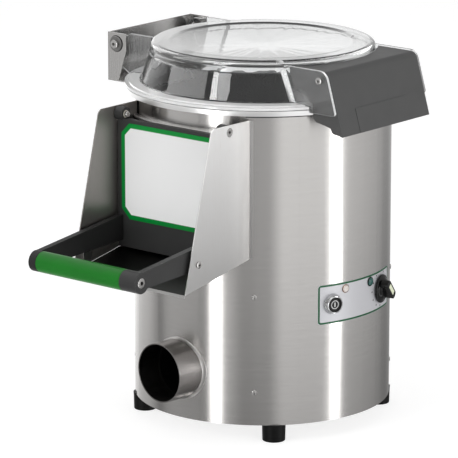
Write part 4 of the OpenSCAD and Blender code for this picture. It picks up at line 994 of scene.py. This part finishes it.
@dataclass(frozen=True)
class Studio:
    """The camera, the lights and the floor."""

    azimuth: float = 39.94
    elevation: float = 14.06
    distance: float = 4.9138
    aim_height: float = 0.25065
    aim_side: float = -0.04568
    focal: float = 3594.8
    frame_px: float = 458.0
    sensor: float = 36.0
    far: float = 30.0
    diffuse: float = 0.5
    seen_through: float = 0.6
    mirror: float = 0.43
    reach: float = 2.4
    lid_z: float = 0.5
    low_top: float = 8.0
    high_top: float = 2.0
    change: tuple[float, float] = (0.2, 0.42)
    floor_light: float = 0.76
    gel_share: tuple[float, float] = (0.52, 1.0)
    gel_reach: tuple[float, float] = (0.15, 1.7)
    lamp_aim: Place = (0, 0, 0.3)
    low_light: Pairs = (
        (-180, 113), (-171, 108), (-155, 125), (-130, 225), (-109, 190), (-100, 174), (-86, 166), (-75, 146),
        (-70, 116), (-66, 104), (-62, 120), (-57, 140), (-50, 145), (-22, 138), (-16, 121), (-9.5, 138),
        (-4.3, 400), (0.3, 400), (3.2, 170), (14, 146), (22, 124), (46, 133), (57, 176), (94, 173), (102.2, 189),
        (106.8, 400), (110.9, 400), (114.2, 176), (124, 157), (158, 140), (169, 130), (180, 113))
    high_light: Pairs = (
        (-180, 0.5), (-150, 0.4), (-132, 0.4), (-120, 1.2), (-60, 1.2), (-20, 0.7), (90, 0.8), (140, 0.9), (180, 0.5))
    lamps: tuple[tuple[str, Place, float, float, bool], ...] = (
        ("overhead", (0.2, -0.3, 2.3), 1.6, 7.0, True), ("key", (-0.5, -2.6, 1.3), 1.3, 19.0, False),
        ("fill", (2.5, -0.9, 1.1), 1.4, 16.0, False), ("back", (0.0, 2.4, 1.7), 1.4, 4.0, False))
    boxes: tuple[tuple[str, tuple[float, float], tuple[float, float], float], ...] = (
        ("box_left", (-62, -17), (3, 50), 4.0), ("box_strip", (-11, 7), (3, 50), 6.5),
        ("box_strip_left", (-11, -5), (3, 50), 11.0), ("box_strip_right", (4, 7), (3, 50), 2.0),
        ("box_far", (-112, -84), (4, 42), 3.0), ("box_back", (156, 196), (12, 60), 5.0))

    def camera(self) -> None:
        """Add the camera and make it the scene's."""
        az, el = math.radians(self.azimuth), math.radians(self.elevation)
        back = Vector((math.sin(az) * math.cos(el), -math.cos(az) * math.cos(el), math.sin(el)))
        right = Vector((math.cos(az), math.sin(az), 0.0))
        lens = bpy.data.cameras.new("Camera")
        lens.sensor_width = self.sensor
        lens.lens = self.focal * lens.sensor_width / self.frame_px
        lens.clip_end = self.far
        camera = bpy.data.objects.new("Camera", lens)
        bpy.context.scene.collection.objects.link(camera)
        target = Vector((0.0, 0.0, self.aim_height)) + self.aim_side * right
        camera.location = target + self.distance * back
        camera.rotation_euler = back.to_track_quat("Z", "Y").to_euler()
        bpy.context.scene.camera = camera

    @staticmethod
    def linear(value: float) -> float:
        """Turn a screen value of 0 to 255 into light, and let it run past white."""
        return ((value / 255 + 0.055) / 1.055) ** 2.4

    def walls(self) -> None:
        """Build the studio's walls as light that changes with direction."""
        world = bpy.data.worlds.new("Studio")
        bpy.context.scene.world = world
        sheet = NodeSheet(world, "Generated")
        x, y, z = sheet.split(sheet.place)
        share = sheet.math("DIVIDE", sheet.math("ARCTAN2", x, y * -1.0), math.tau) + 0.5

        def ring(rows: Pairs, top: float) -> Value:
            """Make a ring of light from pairs of azimuth and light, up to a top light.

            Args:
                rows: the azimuth and the light of each point.
                top: the brightest light.

            Returns:
                The light in each direction.
            """
            made = sheet.make("ValToRGB", 0, {0: share})
            points = made.socket.node.color_ramp.elements
            while len(points) < len(rows):
                points.new(0.5)
            for point, (azimuth, light) in zip(points, rows):
                point.position = azimuth / 360 + 0.5
                point.color = (*grey(light / top), 1.0)
            return made * top

        low = ring([(a, self.linear(v) / self.mirror) for a, v in self.low_light], self.low_top)
        high = ring(self.high_light, self.high_top)
        rise = sheet.make("MapRange", 0, {"Value": z, "From Min": self.change[0], "From Max": self.change[1]},
                          interpolation_type="SMOOTHSTEP")
        light = sheet.make("Mix", 0, {0: rise, 2: low, 3: high}, data_type="FLOAT")
        diffuse, clear, camera = (sheet.make("LightPath", f"Is {ray} Ray") for ray in
                                  ("Diffuse", "Transmission", "Camera"))
        dimmed = light * (1.0 - diffuse * (1.0 - self.diffuse) - clear * (1.0 - self.seen_through))
        sheet.feed(sheet.tree.nodes["Background"].inputs["Color"],
                   sheet.make("Mix", 0, {0: camera, 2: dimmed, 3: 1.0}, data_type="FLOAT"))

    def floor(self) -> None:
        """Lay the pale floor, and a tinted sheet over it that only reflections see."""
        planes = []
        for name, size, height, key in (("studio_floor", 14.0, 0, "floor_pale"),
                                        ("studio_gel", 7.0, 0.0004, "gel_tint")):
            Bench.clear()
            bpy.ops.mesh.primitive_plane_add(size=size, location=(0, 0, height))
            plane = bpy.context.object
            plane.name = name
            plane.data.materials.append(bpy.data.materials.new(key))
            planes.append(plane)
        floor, gel = planes
        sheet = NodeSheet(floor.data.materials[0])
        sheet.put(Base_Color=sheet.blend(sheet.noise(4.0), grey(0.4), grey(0.42)), Roughness=0.9,
                  Emission_Color=grey(1.0), Emission_Strength=self.floor_light)
        floor.visible_glossy = False
        sheet = NodeSheet(gel.data.materials[0])
        distance = sheet.make("VectorMath", "Value", {0: sheet.place, 1: (0.0, 0.0, 0.0)}, operation="LENGTH")
        veil = sheet.make("BsdfTransparent", 0, {0: sheet.spread(distance, *self.gel_share, *self.gel_reach)})
        sheet.feed(sheet.tree.nodes["Material Output"].inputs["Surface"], veil)
        self.hide(gel, "camera", "diffuse", "transmission", "shadow")

    @staticmethod
    def hide(thing: Piece, *rays: str) -> None:
        """Hide a thing from some kinds of ray."""
        for ray in rays:
            setattr(thing, "visible_" + ray, False)

    @staticmethod
    def light(name: str, sides: tuple[float, float], power: float) -> Piece:
        """Add an area light.

        Args:
            name: its name.
            sides: its width and height, in metres.
            power: its power, in watts.

        Returns:
            The light.
        """
        data = bpy.data.lights.new(name, "AREA")
        data.shape = "RECTANGLE"
        data.size, data.size_y = sides
        data.energy = power
        light = bpy.data.objects.new(name, data)
        bpy.context.scene.collection.objects.link(light)
        return light

    def softbox(self, name: str, turn: tuple[float, float], rise: tuple[float, float], light: float) -> None:
        """Stand an upright sheet of light that only reflections see.

        Args:
            name: the sheet's name.
            turn: its two sides, in degrees from the front towards the controls.
            rise: its lower and upper edge, in degrees above the lid.
            light: its brightness, where 1 is white.
        """
        low, high = (self.reach * math.tan(math.radians(angle)) for angle in rise)
        width = 2 * self.reach * math.tan(math.radians(turn[1] - turn[0]) / 2)
        sheet = self.light(name, (width, high - low), light * math.pi * width * (high - low))
        middle = math.radians(sum(turn) / 2)
        sheet.location = (self.reach * math.sin(middle), -self.reach * math.cos(middle), self.lid_z + (low + high) / 2)
        sheet.rotation_euler = (math.radians(90), 0, middle)
        self.hide(sheet, "camera", "diffuse", "transmission")
        sheet.light_linking.receiver_collection = self.clear_things()

    @staticmethod
    def clear_things() -> bpy.types.Collection:
        """Give the collection of clear pieces that the softboxes light."""
        name = "clear_things"
        return bpy.data.collections.get(name) or bpy.data.collections.new(name)

    def build(self) -> None:
        """Set up the whole studio."""
        self.camera()
        self.walls()
        self.floor()
        for name, place, size, power, glossy in self.lamps:
            lamp = self.light(name, (size, size), power)
            lamp.location = place
            lamp.rotation_euler = (Vector(place) - Vector(self.lamp_aim)).to_track_quat("Z", "Y").to_euler()
            self.hide(lamp, "camera", *(() if glossy else ("glossy", "transmission")))
        for box in self.boxes:
            self.softbox(*box)
        bpy.context.scene.view_settings.view_transform = "Standard"


@dataclass(frozen=True)
class Screw:
    """A screw with a domed head and a hexagon socket, as a profile along z from its seat."""

    head_r: float
    head_h: float
    shank_r: float
    shank_l: float
    socket_r: float
    socket_d: float
    crown: float = 0.55
    lift: float = 0.05
    nut: Optional[tuple[float, float]] = None
    nut_r: float = 4.5

    def build(self, bench: Bench, seat: Matrix) -> Piece:
        """Turn the screw and place it on its seat.

        Args:
            bench: the workbench.
            seat: the place of the seat, with z out of it.

        Returns:
            The screw.
        """
        r, h, flat = self.head_r, self.head_h, 1.0 - self.crown
        dome = [(r * math.cos(a), h * (flat + self.crown * math.sin(a))) for a in (0.0, 0.4, 0.75, 1.05)]
        piece = bench.lathe([(0, -self.shank_l), (self.shank_r, -self.shank_l), (self.shank_r, 0), (r, 0),
                             *dome, (0.4 * r, h), (0, h)], 40)
        bench.cut(piece, bench.hexagon(self.socket_r, h - self.socket_d, h + 1))
        return bench.settle(piece, seat @ shift(0, 0, self.lift))

    def pair(self, bench: Bench, axes: Sequence[Axis], place: Place) -> Piece:
        """Make a screw for each of two axes, with its nut where it has one.

        Args:
            bench: the workbench.
            axes: the two axes.
            place: the seat, as pointing() takes it.

        Returns:
            The screws as one piece.
        """
        rows = []
        for seat in (pointing(axis, place) for axis in axes):
            rows.append(self.build(bench, seat))
            if self.nut:
                rows.append(bench.settle(bench.hexagon(self.nut_r, *self.nut), seat))
        return bench.join(rows)


@dataclass(frozen=True)
class DrumBody:
    """The drum's feet, its rim and the dark ring below the rim, a painted shadow."""

    foot_h: float = 24.0
    foot_r: float = 16.2
    foot_pitch: float = 228.8
    stud_r: float = 4.0
    stud_top: float = 36.0
    shadow_ring_z: tuple[float, float] = (444.2, 447.2)
    shadow_ring_r: tuple[float, float] = (174.8, 175.9)
    shadow_ring_gap: float = 93.5
    gap_y: tuple[float, float] = (-200.0, -100.0)

    def feet(self, bench: Bench) -> None:
        """Turn one rubber foot and copy it to the four places.

        Args:
            bench: the workbench.
        """
        r, h = self.foot_r, self.foot_h
        first = bench.lathe([(0, 0.0), (r - 4.2, 0.0), (r - 3.2, 0.9), (r - 2.4, 0.0), (r - 1.4, 0.1),
                             (r - 0.8, 0.7), (r - 0.7, 2.4), (r - 0.35, h - 5.5), (r - 0.15, h - 1.4), (r, h - 0.9),
                             (r, h), (self.stud_r, h), (self.stud_r, self.stud_top), (0, self.stud_top)], 56)
        half = self.foot_pitch / 2
        rows = [bench.twin(first, shift(x * half, y * half, 0)) for x in (-1, 1) for y in (-1, 1)]
        bpy.data.objects.remove(first)
        bench.finish(bench.join(rows), "rubber_foot_set", "rubber", "drum", "rubber_feet")

    def bead(self, bench: Bench) -> None:
        """Lay a dark ring under the rim, open where the chute is: a painted shadow, standing in for the rim's shadow
        and its dark reflection on the drum.

        Args:
            bench: the workbench.
        """
        (low, high), (inner, outer), gap = self.shadow_ring_z, self.shadow_ring_r, self.shadow_ring_gap
        ring = bench.lathe([(inner, low), (outer, low + 0.3), (outer, high), (inner, high)], 128)
        bench.cut(ring, bench.box((-gap, self.gap_y[0], low - 5.0), (gap, self.gap_y[1], high + 5.0)))
        bench.finish(ring, "rim_painted_shadow_ring", "rubber", "drum")

    def build(self, bench: Bench) -> None:
        """Build the drum's pieces.

        Args:
            bench: the workbench.
        """
        self.feet(bench)
        bench.reuse("rim_ring", 0.9, "rim_rolled", "rim", "drum")
        self.bead(bench)


@dataclass(frozen=True)
class LidAssembly:
    """The clear lid, its hinge bracket, its screws and its handle."""

    hinge: Place = (-187.6, 86.7, 498.0)
    latch: Place = (176.0, 98.5, 496.0)
    washer_r: float = 10.7
    washer_t: float = 2.0
    bolt_r: float = 4.0
    bolt_nut: Place = (6.4, -16.2, -9.6)
    ear_t: float = 2.1
    foot_r: float = 164.4
    rim_r: float = 187.2
    foot_z: float = 462.0
    ledge_r: tuple[float, float] = (123.0, 151.0)
    ledge_z: float = 512.0
    ear_x: tuple[float, float] = (-150.0, 60.0)
    latch_ear: tuple[float, float] = (-4.1, 0.1)
    hinge_ear: float = 12.0
    ear_reach: float = 30.0
    edge_tilt: float = 0.5
    root_z: tuple[float, float] = (462.5, 503.0)
    root_w: float = 4.5
    root_steps: int = 8
    wall_slope: float = 0.31

    def hinge_bolts(self, bench: Bench) -> None:
        """Make both hinge bolts with their washers, gaskets and nuts.

        Args:
            bench: the workbench.
        """
        rows, washers, gaskets = [], [], []
        t, r, bolt, back = self.washer_t, self.washer_r, self.bolt_r, -self.ear_t
        for seat in (pointing(axis, self.hinge) for axis in ENDS):
            gasket = bench.lathe([(r - 3, 0.02), (r + 0.6, 0.02), (r + 0.7, 0.3), (r + 0.5, 0.7), (r - 3, 0.7)], 56)
            washer = bench.lathe([(bolt, 0.1), (r - 0.3, 0.1), (r, 0.5), (r, t - 0.5), (r - 0.5, t), (r - 2.4, t),
                                  (r - 2.9, t - 0.4), (bolt, t - 0.4)], 56)
            inner = bench.lathe([(bolt, back - t), (r, back - t), (r, back), (bolt, back)])
            nut = bench.hexagon(*self.bolt_nut)
            rows += [bench.settle(piece, seat) for piece in (inner, nut)]
            rows.append(Screw(6.0, 3.9, bolt, 17.0, 2.4, 7.0, 0.14, t + 0.05).build(bench, seat))
            washers.append(bench.settle(washer, seat))
            gaskets.append(bench.settle(gasket, seat))
        bench.finish(bench.join(rows), "hinge_bolt_set", "head", "drum", "hinge_bolts")
        bench.finish(bench.join(washers), "hinge_washer_set", "washer", "drum")
        bench.finish(bench.join(gaskets), "hinge_gasket_set", "rubber", "drum")

    def frost(self, lid: Piece, bench: Bench) -> None:
        """Give the ears, their cut edges, the flange and the top's ledge finishes of their own.

        Args:
            lid: the lid's piece.
            bench: the workbench.
        """
        keys = ("edge", "edge_dim", "ear", "flange", "ledge")
        for key in keys:
            lid.data.materials.append(bench.material(key))
        low, high = (self.latch[1] + side for side in self.latch_ear)
        for face in lid.data.polygons:
            place = face.center / MM
            reach = math.hypot(place.x, place.y)
            latch_ear = place.x > self.ear_x[1] and low < abs(place.y) < high
            hinge_ear = place.x < self.ear_x[0] and self.hinge[1] - self.hinge_ear < abs(place.y) < self.hinge[1]
            key = None
            if (latch_ear or hinge_ear) and abs(face.normal.y) < self.edge_tilt:
                # The back latch ear's edges take the darker copy, painted shade; the other ear edges take the milky
                # white edge, painted highlight.
                key = "edge_dim" if latch_ear and place.y > 0 else "edge"
            elif (latch_ear or hinge_ear) and reach > self.foot_r - self.ear_reach:
                key = "ear"
            elif self.foot_r < reach < self.rim_r and place.z < self.foot_z:
                key = "flange"
            elif self.ledge_r[0] < reach < self.ledge_r[1] and place.z > self.ledge_z:
                key = "ledge"
            if key:
                face.material_index = keys.index(key) + 1

    def roots(self, bench: Bench) -> None:
        """Sweep a bead along the joint of each handle ear and the lid's wall, in the milky white edge finish: a
        painted highlight for the bright band along the joint.

        Args:
            bench: the workbench.
        """
        low, w, side = self.root_z[0], self.root_w, self.latch[1]
        step = (self.root_z[1] - low) / self.root_steps
        radii = [self.foot_r - step * index * self.wall_slope for index in range(self.root_steps + 1)]
        spine = [math.sqrt(r * r - side * side) for r in radii]
        outline = [(-0.8, -0.8), (w, -0.1), (w, 0.15), (0.5 * w, 0.35), (0.15 * w, 0.9), (-0.3 * w, 0.42 * w),
                   (-0.56 * w, 0.75 * w), (-0.68 * w, 0.7 * w)]
        rows = [bench.sweep([(spine[0] + x, sign * (side + y)) for x, y in outline], low,
                            [(b - a, 0.0, step) for a, b in zip(spine, spine[1:])]) for sign in (-1, 1)]
        bench.finish(bench.join(rows), "lid_ear_roots", "edge", "lid", angle=60.0)

    def build(self, bench: Bench) -> None:
        """Build the lid's pieces.

        Args:
            bench: the workbench.
        """
        self.hinge_bolts(bench)
        screws = Screw(4.7, 2.9, 2.5, 16.1, 1.9, 6.5, 0.2, nut=(-15.6, -12.9)).pair(bench, ENDS, self.latch)
        bench.finish(screws, "latch_screw_set", "head", "lid", "latch_screws")
        lid = bench.reuse("lid", 0.0, "lid_dome", "clear", "lid", angle=34.0)
        self.frost(lid, bench)
        Studio.clear_things().objects.link(lid)
        self.roots(bench)
        bench.reuse("hinge_bracket", 0.5, "hinge_bracket_folded", "bracket", "drum")
        bench.reuse("latch_handle", 0.35, "latch_handle_moulded", "handle", "latch", 30.0)


@dataclass(frozen=True)
class ChuteAssembly:
    """The chute's walls, flanges, collar and screws."""

    wall_x: float = 97.0
    wall_t: float = 1.5
    flange_w: float = 3.6
    flange_z: tuple[float, float] = (254.0, 440.6)
    screw: Place = (98.5, -250.5, 266.3)
    skin: float = 0.6
    flange_lift: float = 0.75
    bead_lift: float = 0.7
    bead_half: float = 0.6

    def flanges(self, bench: Bench) -> None:
        """Fold the narrow flange that joins each wall to the drum, and lay the bead in its corner.

        Args:
            bench: the workbench.
        """
        rows, beads = [], []
        (low, high), half, seat = self.flange_z, self.flange_w / 2, DRUM_R + self.flange_lift
        middle = math.asin((self.wall_x + self.wall_t) / (DRUM_R + self.skin)) + half / DRUM_R
        for sign in (-1, 1):
            block = bench.box((-half, -0.5, low), (half, 0.5, high))
            bench.bevel(block, 0.35)
            place = shift(sign * seat * math.sin(middle), -seat * math.cos(middle), 0)
            rows.append(bench.settle(block, place @ Matrix.Rotation(sign * middle, 4, "Z")))
        bench.finish(bench.join(rows), "chute_flanges", "chute_side", "drum")
        w = self.bead_half
        for sign in (-1, 1):
            x = sign * (self.wall_x - w)
            y = -math.sqrt((DRUM_R + self.bead_lift) ** 2 - x * x)
            beads.append(bench.box((x - w, y - w, low), (x + w, y + w, high)))
        bench.finish(bench.join(beads), "chute_sealant_beads", "rubber", "drum")

    def build(self, bench: Bench) -> None:
        """Build the chute's pieces.

        Args:
            bench: the workbench.
        """
        self.flanges(bench)
        screws = Screw(4.75, 2.15, 2.5, 5.4, 1.8, 5.0, 0.3, nut=(-5.3, -3.6)).pair(bench, SIDES, self.screw)
        bench.finish(screws, "chute_screw_set", "screw", "drum", "chute_screws")
        for side, key in (("left", "chute_inner_shade"), ("right", "chute_side")):
            bench.reuse("chute_wall_" + side, 0.4, "chute_side_" + side, key, "drum")
        bench.reuse("door_collar", 1.2, "door_collar_turned", "collar", "drum")


@dataclass(frozen=True)
class DoorAssembly:
    """The lift-up door with its arms, grip and pivots."""

    pivot: Place = (97.0, -187.0, 431.4)
    hub_in: float = 81.5
    grip: Place = (0.0, -355.0, 261.8)
    grip_ends: tuple[float, float] = (-80.5, 65.2)
    grip_r: float = 14.1
    rod_r: float = 7.1
    screw_x: float = 88.5

    def pivots(self, bench: Bench) -> None:
        """Make the two flush pivot screws with their inner caps.

        Args:
            bench: the workbench.
        """
        rows = []
        end = self.hub_in - self.pivot[0]
        for seat in (pointing(axis, self.pivot) for axis in SIDES):
            head = bench.lathe([(0, end - 4), (3, end - 4), (3, 0), (6, 0), (6, 1.1), (5.6, 1.5), (4.4, 1.5),
                                (4.1, 1.25), (0, 1.25)])
            bench.cut(head, bench.hexagon(2.3, -5.0, 3))
            cap = bench.lathe([(2.9, end - 0.6), (4.0, end - 0.6), (4.0, end - 2.8), (3.5, end - 3.8),
                               (2.9, end - 3.8)], 40)
            rows += [bench.settle(head, seat), bench.settle(cap, seat)]
        bench.finish(bench.join(rows), "door_pivot_set", "screw", "drum", "door_pivot_screws")

    def build(self, bench: Bench) -> None:
        """Build the door's pieces.

        Args:
            bench: the workbench.
        """
        self.pivots(bench)
        r, bore, (a, b) = self.grip_r, self.rod_r, self.grip_ends
        tube = bench.lathe([(bore, a), (r - 1.2, a), (r - 0.35, a + 0.35), (r, a + 1.2), (r, b - 1.2),
                            (r - 0.35, b - 0.35), (r - 1.2, b), (bore, b)], 72)
        bench.settle(tube, pointing(Axis.RIGHT, self.grip))
        bench.finish(tube, "door_grip_tube", "grip", "door", "door_grip")
        screws = Screw(6.7, 4.0, 4.0, 14.9, 2.9, 9.0, 0.12, 0.0).pair(bench, SIDES, (self.screw_x, *self.grip[1:]))
        bench.finish(screws, "grip_screw_set", "screw", "door", "grip_screws")
        for node, name, key in (("door_panel", "door_leaf", "door"), ("door_arm_left", "door_arm_l", "door_shade"),
                                ("door_arm_right", "door_arm_r", "door")):
            bench.reuse(node, 0.8, name, key, "door", 30.0)


@dataclass(frozen=True)
class DrainAssembly:
    """The drain pipe and its joint with the drum."""

    pipe_r: float = 40.5
    flare_w: float = 3.4
    wave: float = 0.35

    def flare(self, bench: Bench) -> None:
        """Dress the joint where the drum's wall is drawn out to meet the pipe.

        Args:
            bench: the workbench.
        """
        r, spread = self.pipe_r, self.flare_w
        curve = [(r + spread * (1 - math.sin(a)), spread * (1 - math.cos(a)))
                 for a in (math.radians(5 * step) for step in range(2, 19, 2))]
        ring = bench.lathe([(r - 0.4, -1.5), (r + spread, -1.5), *curve, (r - 0.4, spread)], 96)
        bench.settle(ring, spin(-DRAIN_YAW) @ shift(DRAIN_SIDE, 0, DRAIN_Z) @ spin(90, "X"))
        along = spin(-DRAIN_YAW).to_3x3() @ Vector((0, -1, 0))
        bench.edit(ring)
        mesh = bmesh.from_edit_mesh(ring.data)
        for vert in mesh.verts:
            flat = Vector((vert.co.x, vert.co.y, 0))
            centre = flat - along * flat.dot(along)
            reach = math.sqrt(max(0.0, (DRUM_R * MM) ** 2 - centre.length ** 2))
            angle = math.atan2(vert.co.z - DRAIN_Z * MM, vert.co.x)
            vert.co += along * (reach + self.wave * MM * math.sin(5 * angle) * math.sin(2 * angle + 1))
        bmesh.update_edit_mesh(ring.data)
        bpy.ops.object.mode_set(mode="OBJECT")
        bench.finish(ring, "drain_drawn_joint", "joint", "drum", angle=60.0)

    def build(self, bench: Bench) -> None:
        """Build the drain's pieces."""
        self.flare(bench)
        bench.reuse("outlet_pipe", 0.5, "outlet_pipe_turned", "pipe", "drum")


@dataclass(frozen=True)
class ControlAssembly:
    """The start button, the timer's knob and the lamps."""

    face_r: float = 175.6
    lamp_z: float = 203.3
    mains_azimuth: float = 78.6
    run_azimuth: float = 94.9
    lens_rise: float = 0.62
    knob_r: float = 19.5
    knob_span: tuple[float, float] = (176.8, 193.2)
    knob_turn: float = 44.0
    grip_half: tuple[float, float] = (6.2, 16.8)
    grip_taper: Place = (0.8, 0.72, 1.0)

    def start(self, bench: Bench) -> None:
        """Make the start button's bezel and cap.

        Args:
            bench: the workbench.
        """
        seat = out_of_drum(START_AZIMUTH, CONTROL_Z)
        d, face = DRUM_R, self.face_r
        bezel = bench.lathe([
            (10.1, d - 17), (10.95, d - 17), (10.95, d - 7), (14, d - 7), (14, d - 3.5), (10.95, d - 3.5),
            (10.95, face), (13.8, face), (14.0, face + 0.4), (13.9, face + 1.6), (12.6, d + 5.6), (12.1, d + 7.2),
            (11.6, d + 7.8), (10.9, d + 8.0), (10.4, d + 7.8), (10.1, d + 7.2)], 72)
        bench.finish(bench.settle(bezel, seat), "start_bezel_turned", "chrome", "drum", "start_bezel")
        front = d + 7.3
        cap = bench.lathe([(0, d), (6, d), (6, d - 9), (10, d - 9), (10, front - 0.8), (9.75, front - 0.2),
                           (9.2, front), (8.6, front - 0.15), (7.8, front - 0.7), (0, front - 0.9)], 72)
        bench.finish(bench.settle(cap, seat), "start_cap_dished", "cap", "start_button", "start_cap")

    def knob(self, bench: Bench) -> None:
        """Make the timer's knob with its grip bar and pointer stripe.

        Args:
            bench: the workbench.
        """
        seat, turn = out_of_drum(TIMER_AZIMUTH, TIMER_Z), spin(self.knob_turn)
        r, d, (low, out), (w, l) = self.knob_r, DRUM_R, self.knob_span, self.grip_half
        skirt = bench.lathe([
            (0, d - 25), (3, d - 25), (3, low), (r - 1.0, low), (r - 0.2, low + 0.3), (r, low + 0.9), (r, low + 1.7),
            (r - 0.5, low + 2.5), (r - 1.5, low + 3.0), (r - 3.0, low + 3.4), (r - 5.0, low + 4.6),
            (r - 6.5, low + 6.6), (r - 8.0, low + 7.4), (0, low + 7.6)], 72)
        half = [(-w, -l + 4), (-w + 1.6, -l + 1.2), (0, -l), (w - 1.6, -l + 1.2), (w, -l + 4)]
        grip = bench.sweep([*half, *((-x, -y) for x, y in half)], low + 4.5, [(0, 0, out - 0.3 - low - 4.5)])
        bench.edit(grip)
        bpy.ops.mesh.select_all(action="DESELECT")
        mesh = bmesh.from_edit_mesh(grip.data)
        for face in mesh.faces:
            face.select = face.normal.z > 0.9
        bmesh.update_edit_mesh(grip.data)
        bpy.ops.transform.resize(value=self.grip_taper, center_override=(0, 0, 0))
        bpy.ops.object.mode_set(mode="OBJECT")
        bench.bevel(grip, 1.0, 3, 28.0)
        knob = bench.join([skirt, bench.settle(grip, turn)])
        bench.finish(bench.settle(knob, seat), "timer_knob_moulded", "black", "timer", "timer_knob")
        stripe = bench.box((-3.0, -8.4, out - 0.9), (3.0, 10.4, out))
        bench.bevel(stripe, 0.25)
        bench.settle(stripe, turn)
        bench.finish(bench.settle(stripe, seat), "timer_pointer", "cream", "timer")

    def lamps(self, bench: Bench) -> None:
        """Turn the narrow ring around each lamp, and its lens.

        Args:
            bench: the workbench.
        """
        low = self.face_r
        seats = {"mains": out_of_drum(self.mains_azimuth, self.lamp_z),
                 "run": out_of_drum(self.run_azimuth, self.lamp_z)}
        for name, r, key in (("mains", 4.8, "rose"), ("run", 5.5, "black")):
            ring = bench.lathe([(r + 0.05, low), (r + 1.1, low), (r + 1.1, low + 0.5), (r + 0.7, low + 1.0),
                                (r + 0.05, low + 1.1)])
            bench.finish(bench.settle(ring, seats[name]), name + "_lamp_ring", key, "drum")
        low += 0.2
        for name, r, key in (("mains", 4.2, "lamp_clear"), ("run", 5.0, "lamp_green")):
            h = self.lens_rise * r
            dome = [(r * math.cos(a), low + h * math.sin(a)) for a in (0.0, 0.3, 0.6, 0.9, 1.2, 1.4)]
            lens = bench.lathe([(0, low - 0.5), (r, low - 0.5), *dome, (0, low + h)], 40)
            bench.finish(bench.settle(lens, seats[name]), name + "_lamp_lens", key, "drum")

    def build(self, bench: Bench) -> None:
        """Build the controls.

        Args:
            bench: the workbench.
        """
        self.start(bench)
        self.knob(bench)
        self.lamps(bench)


def main() -> None:
    """Build the studio and every sub-assembly, dress the kept CAD nodes, and log the count of new pieces."""
    logging.basicConfig(level=logging.INFO, format="%(message)s")
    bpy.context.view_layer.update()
    Studio().build()
    bench = Bench()
    for part in (DrumBody(), LidAssembly(), ChuteAssembly(), DoorAssembly(), DrainAssembly(), ControlAssembly()):
        part.build(bench)
        log.info("%s done", type(part).__name__)
    for key, nodes in KEPT.items():
        for node in nodes.split():
            bench.dress(node, key)
    Bench.clear()
    log.info("%d new pieces", bench.count)


if __name__ == "__main__":
    main()
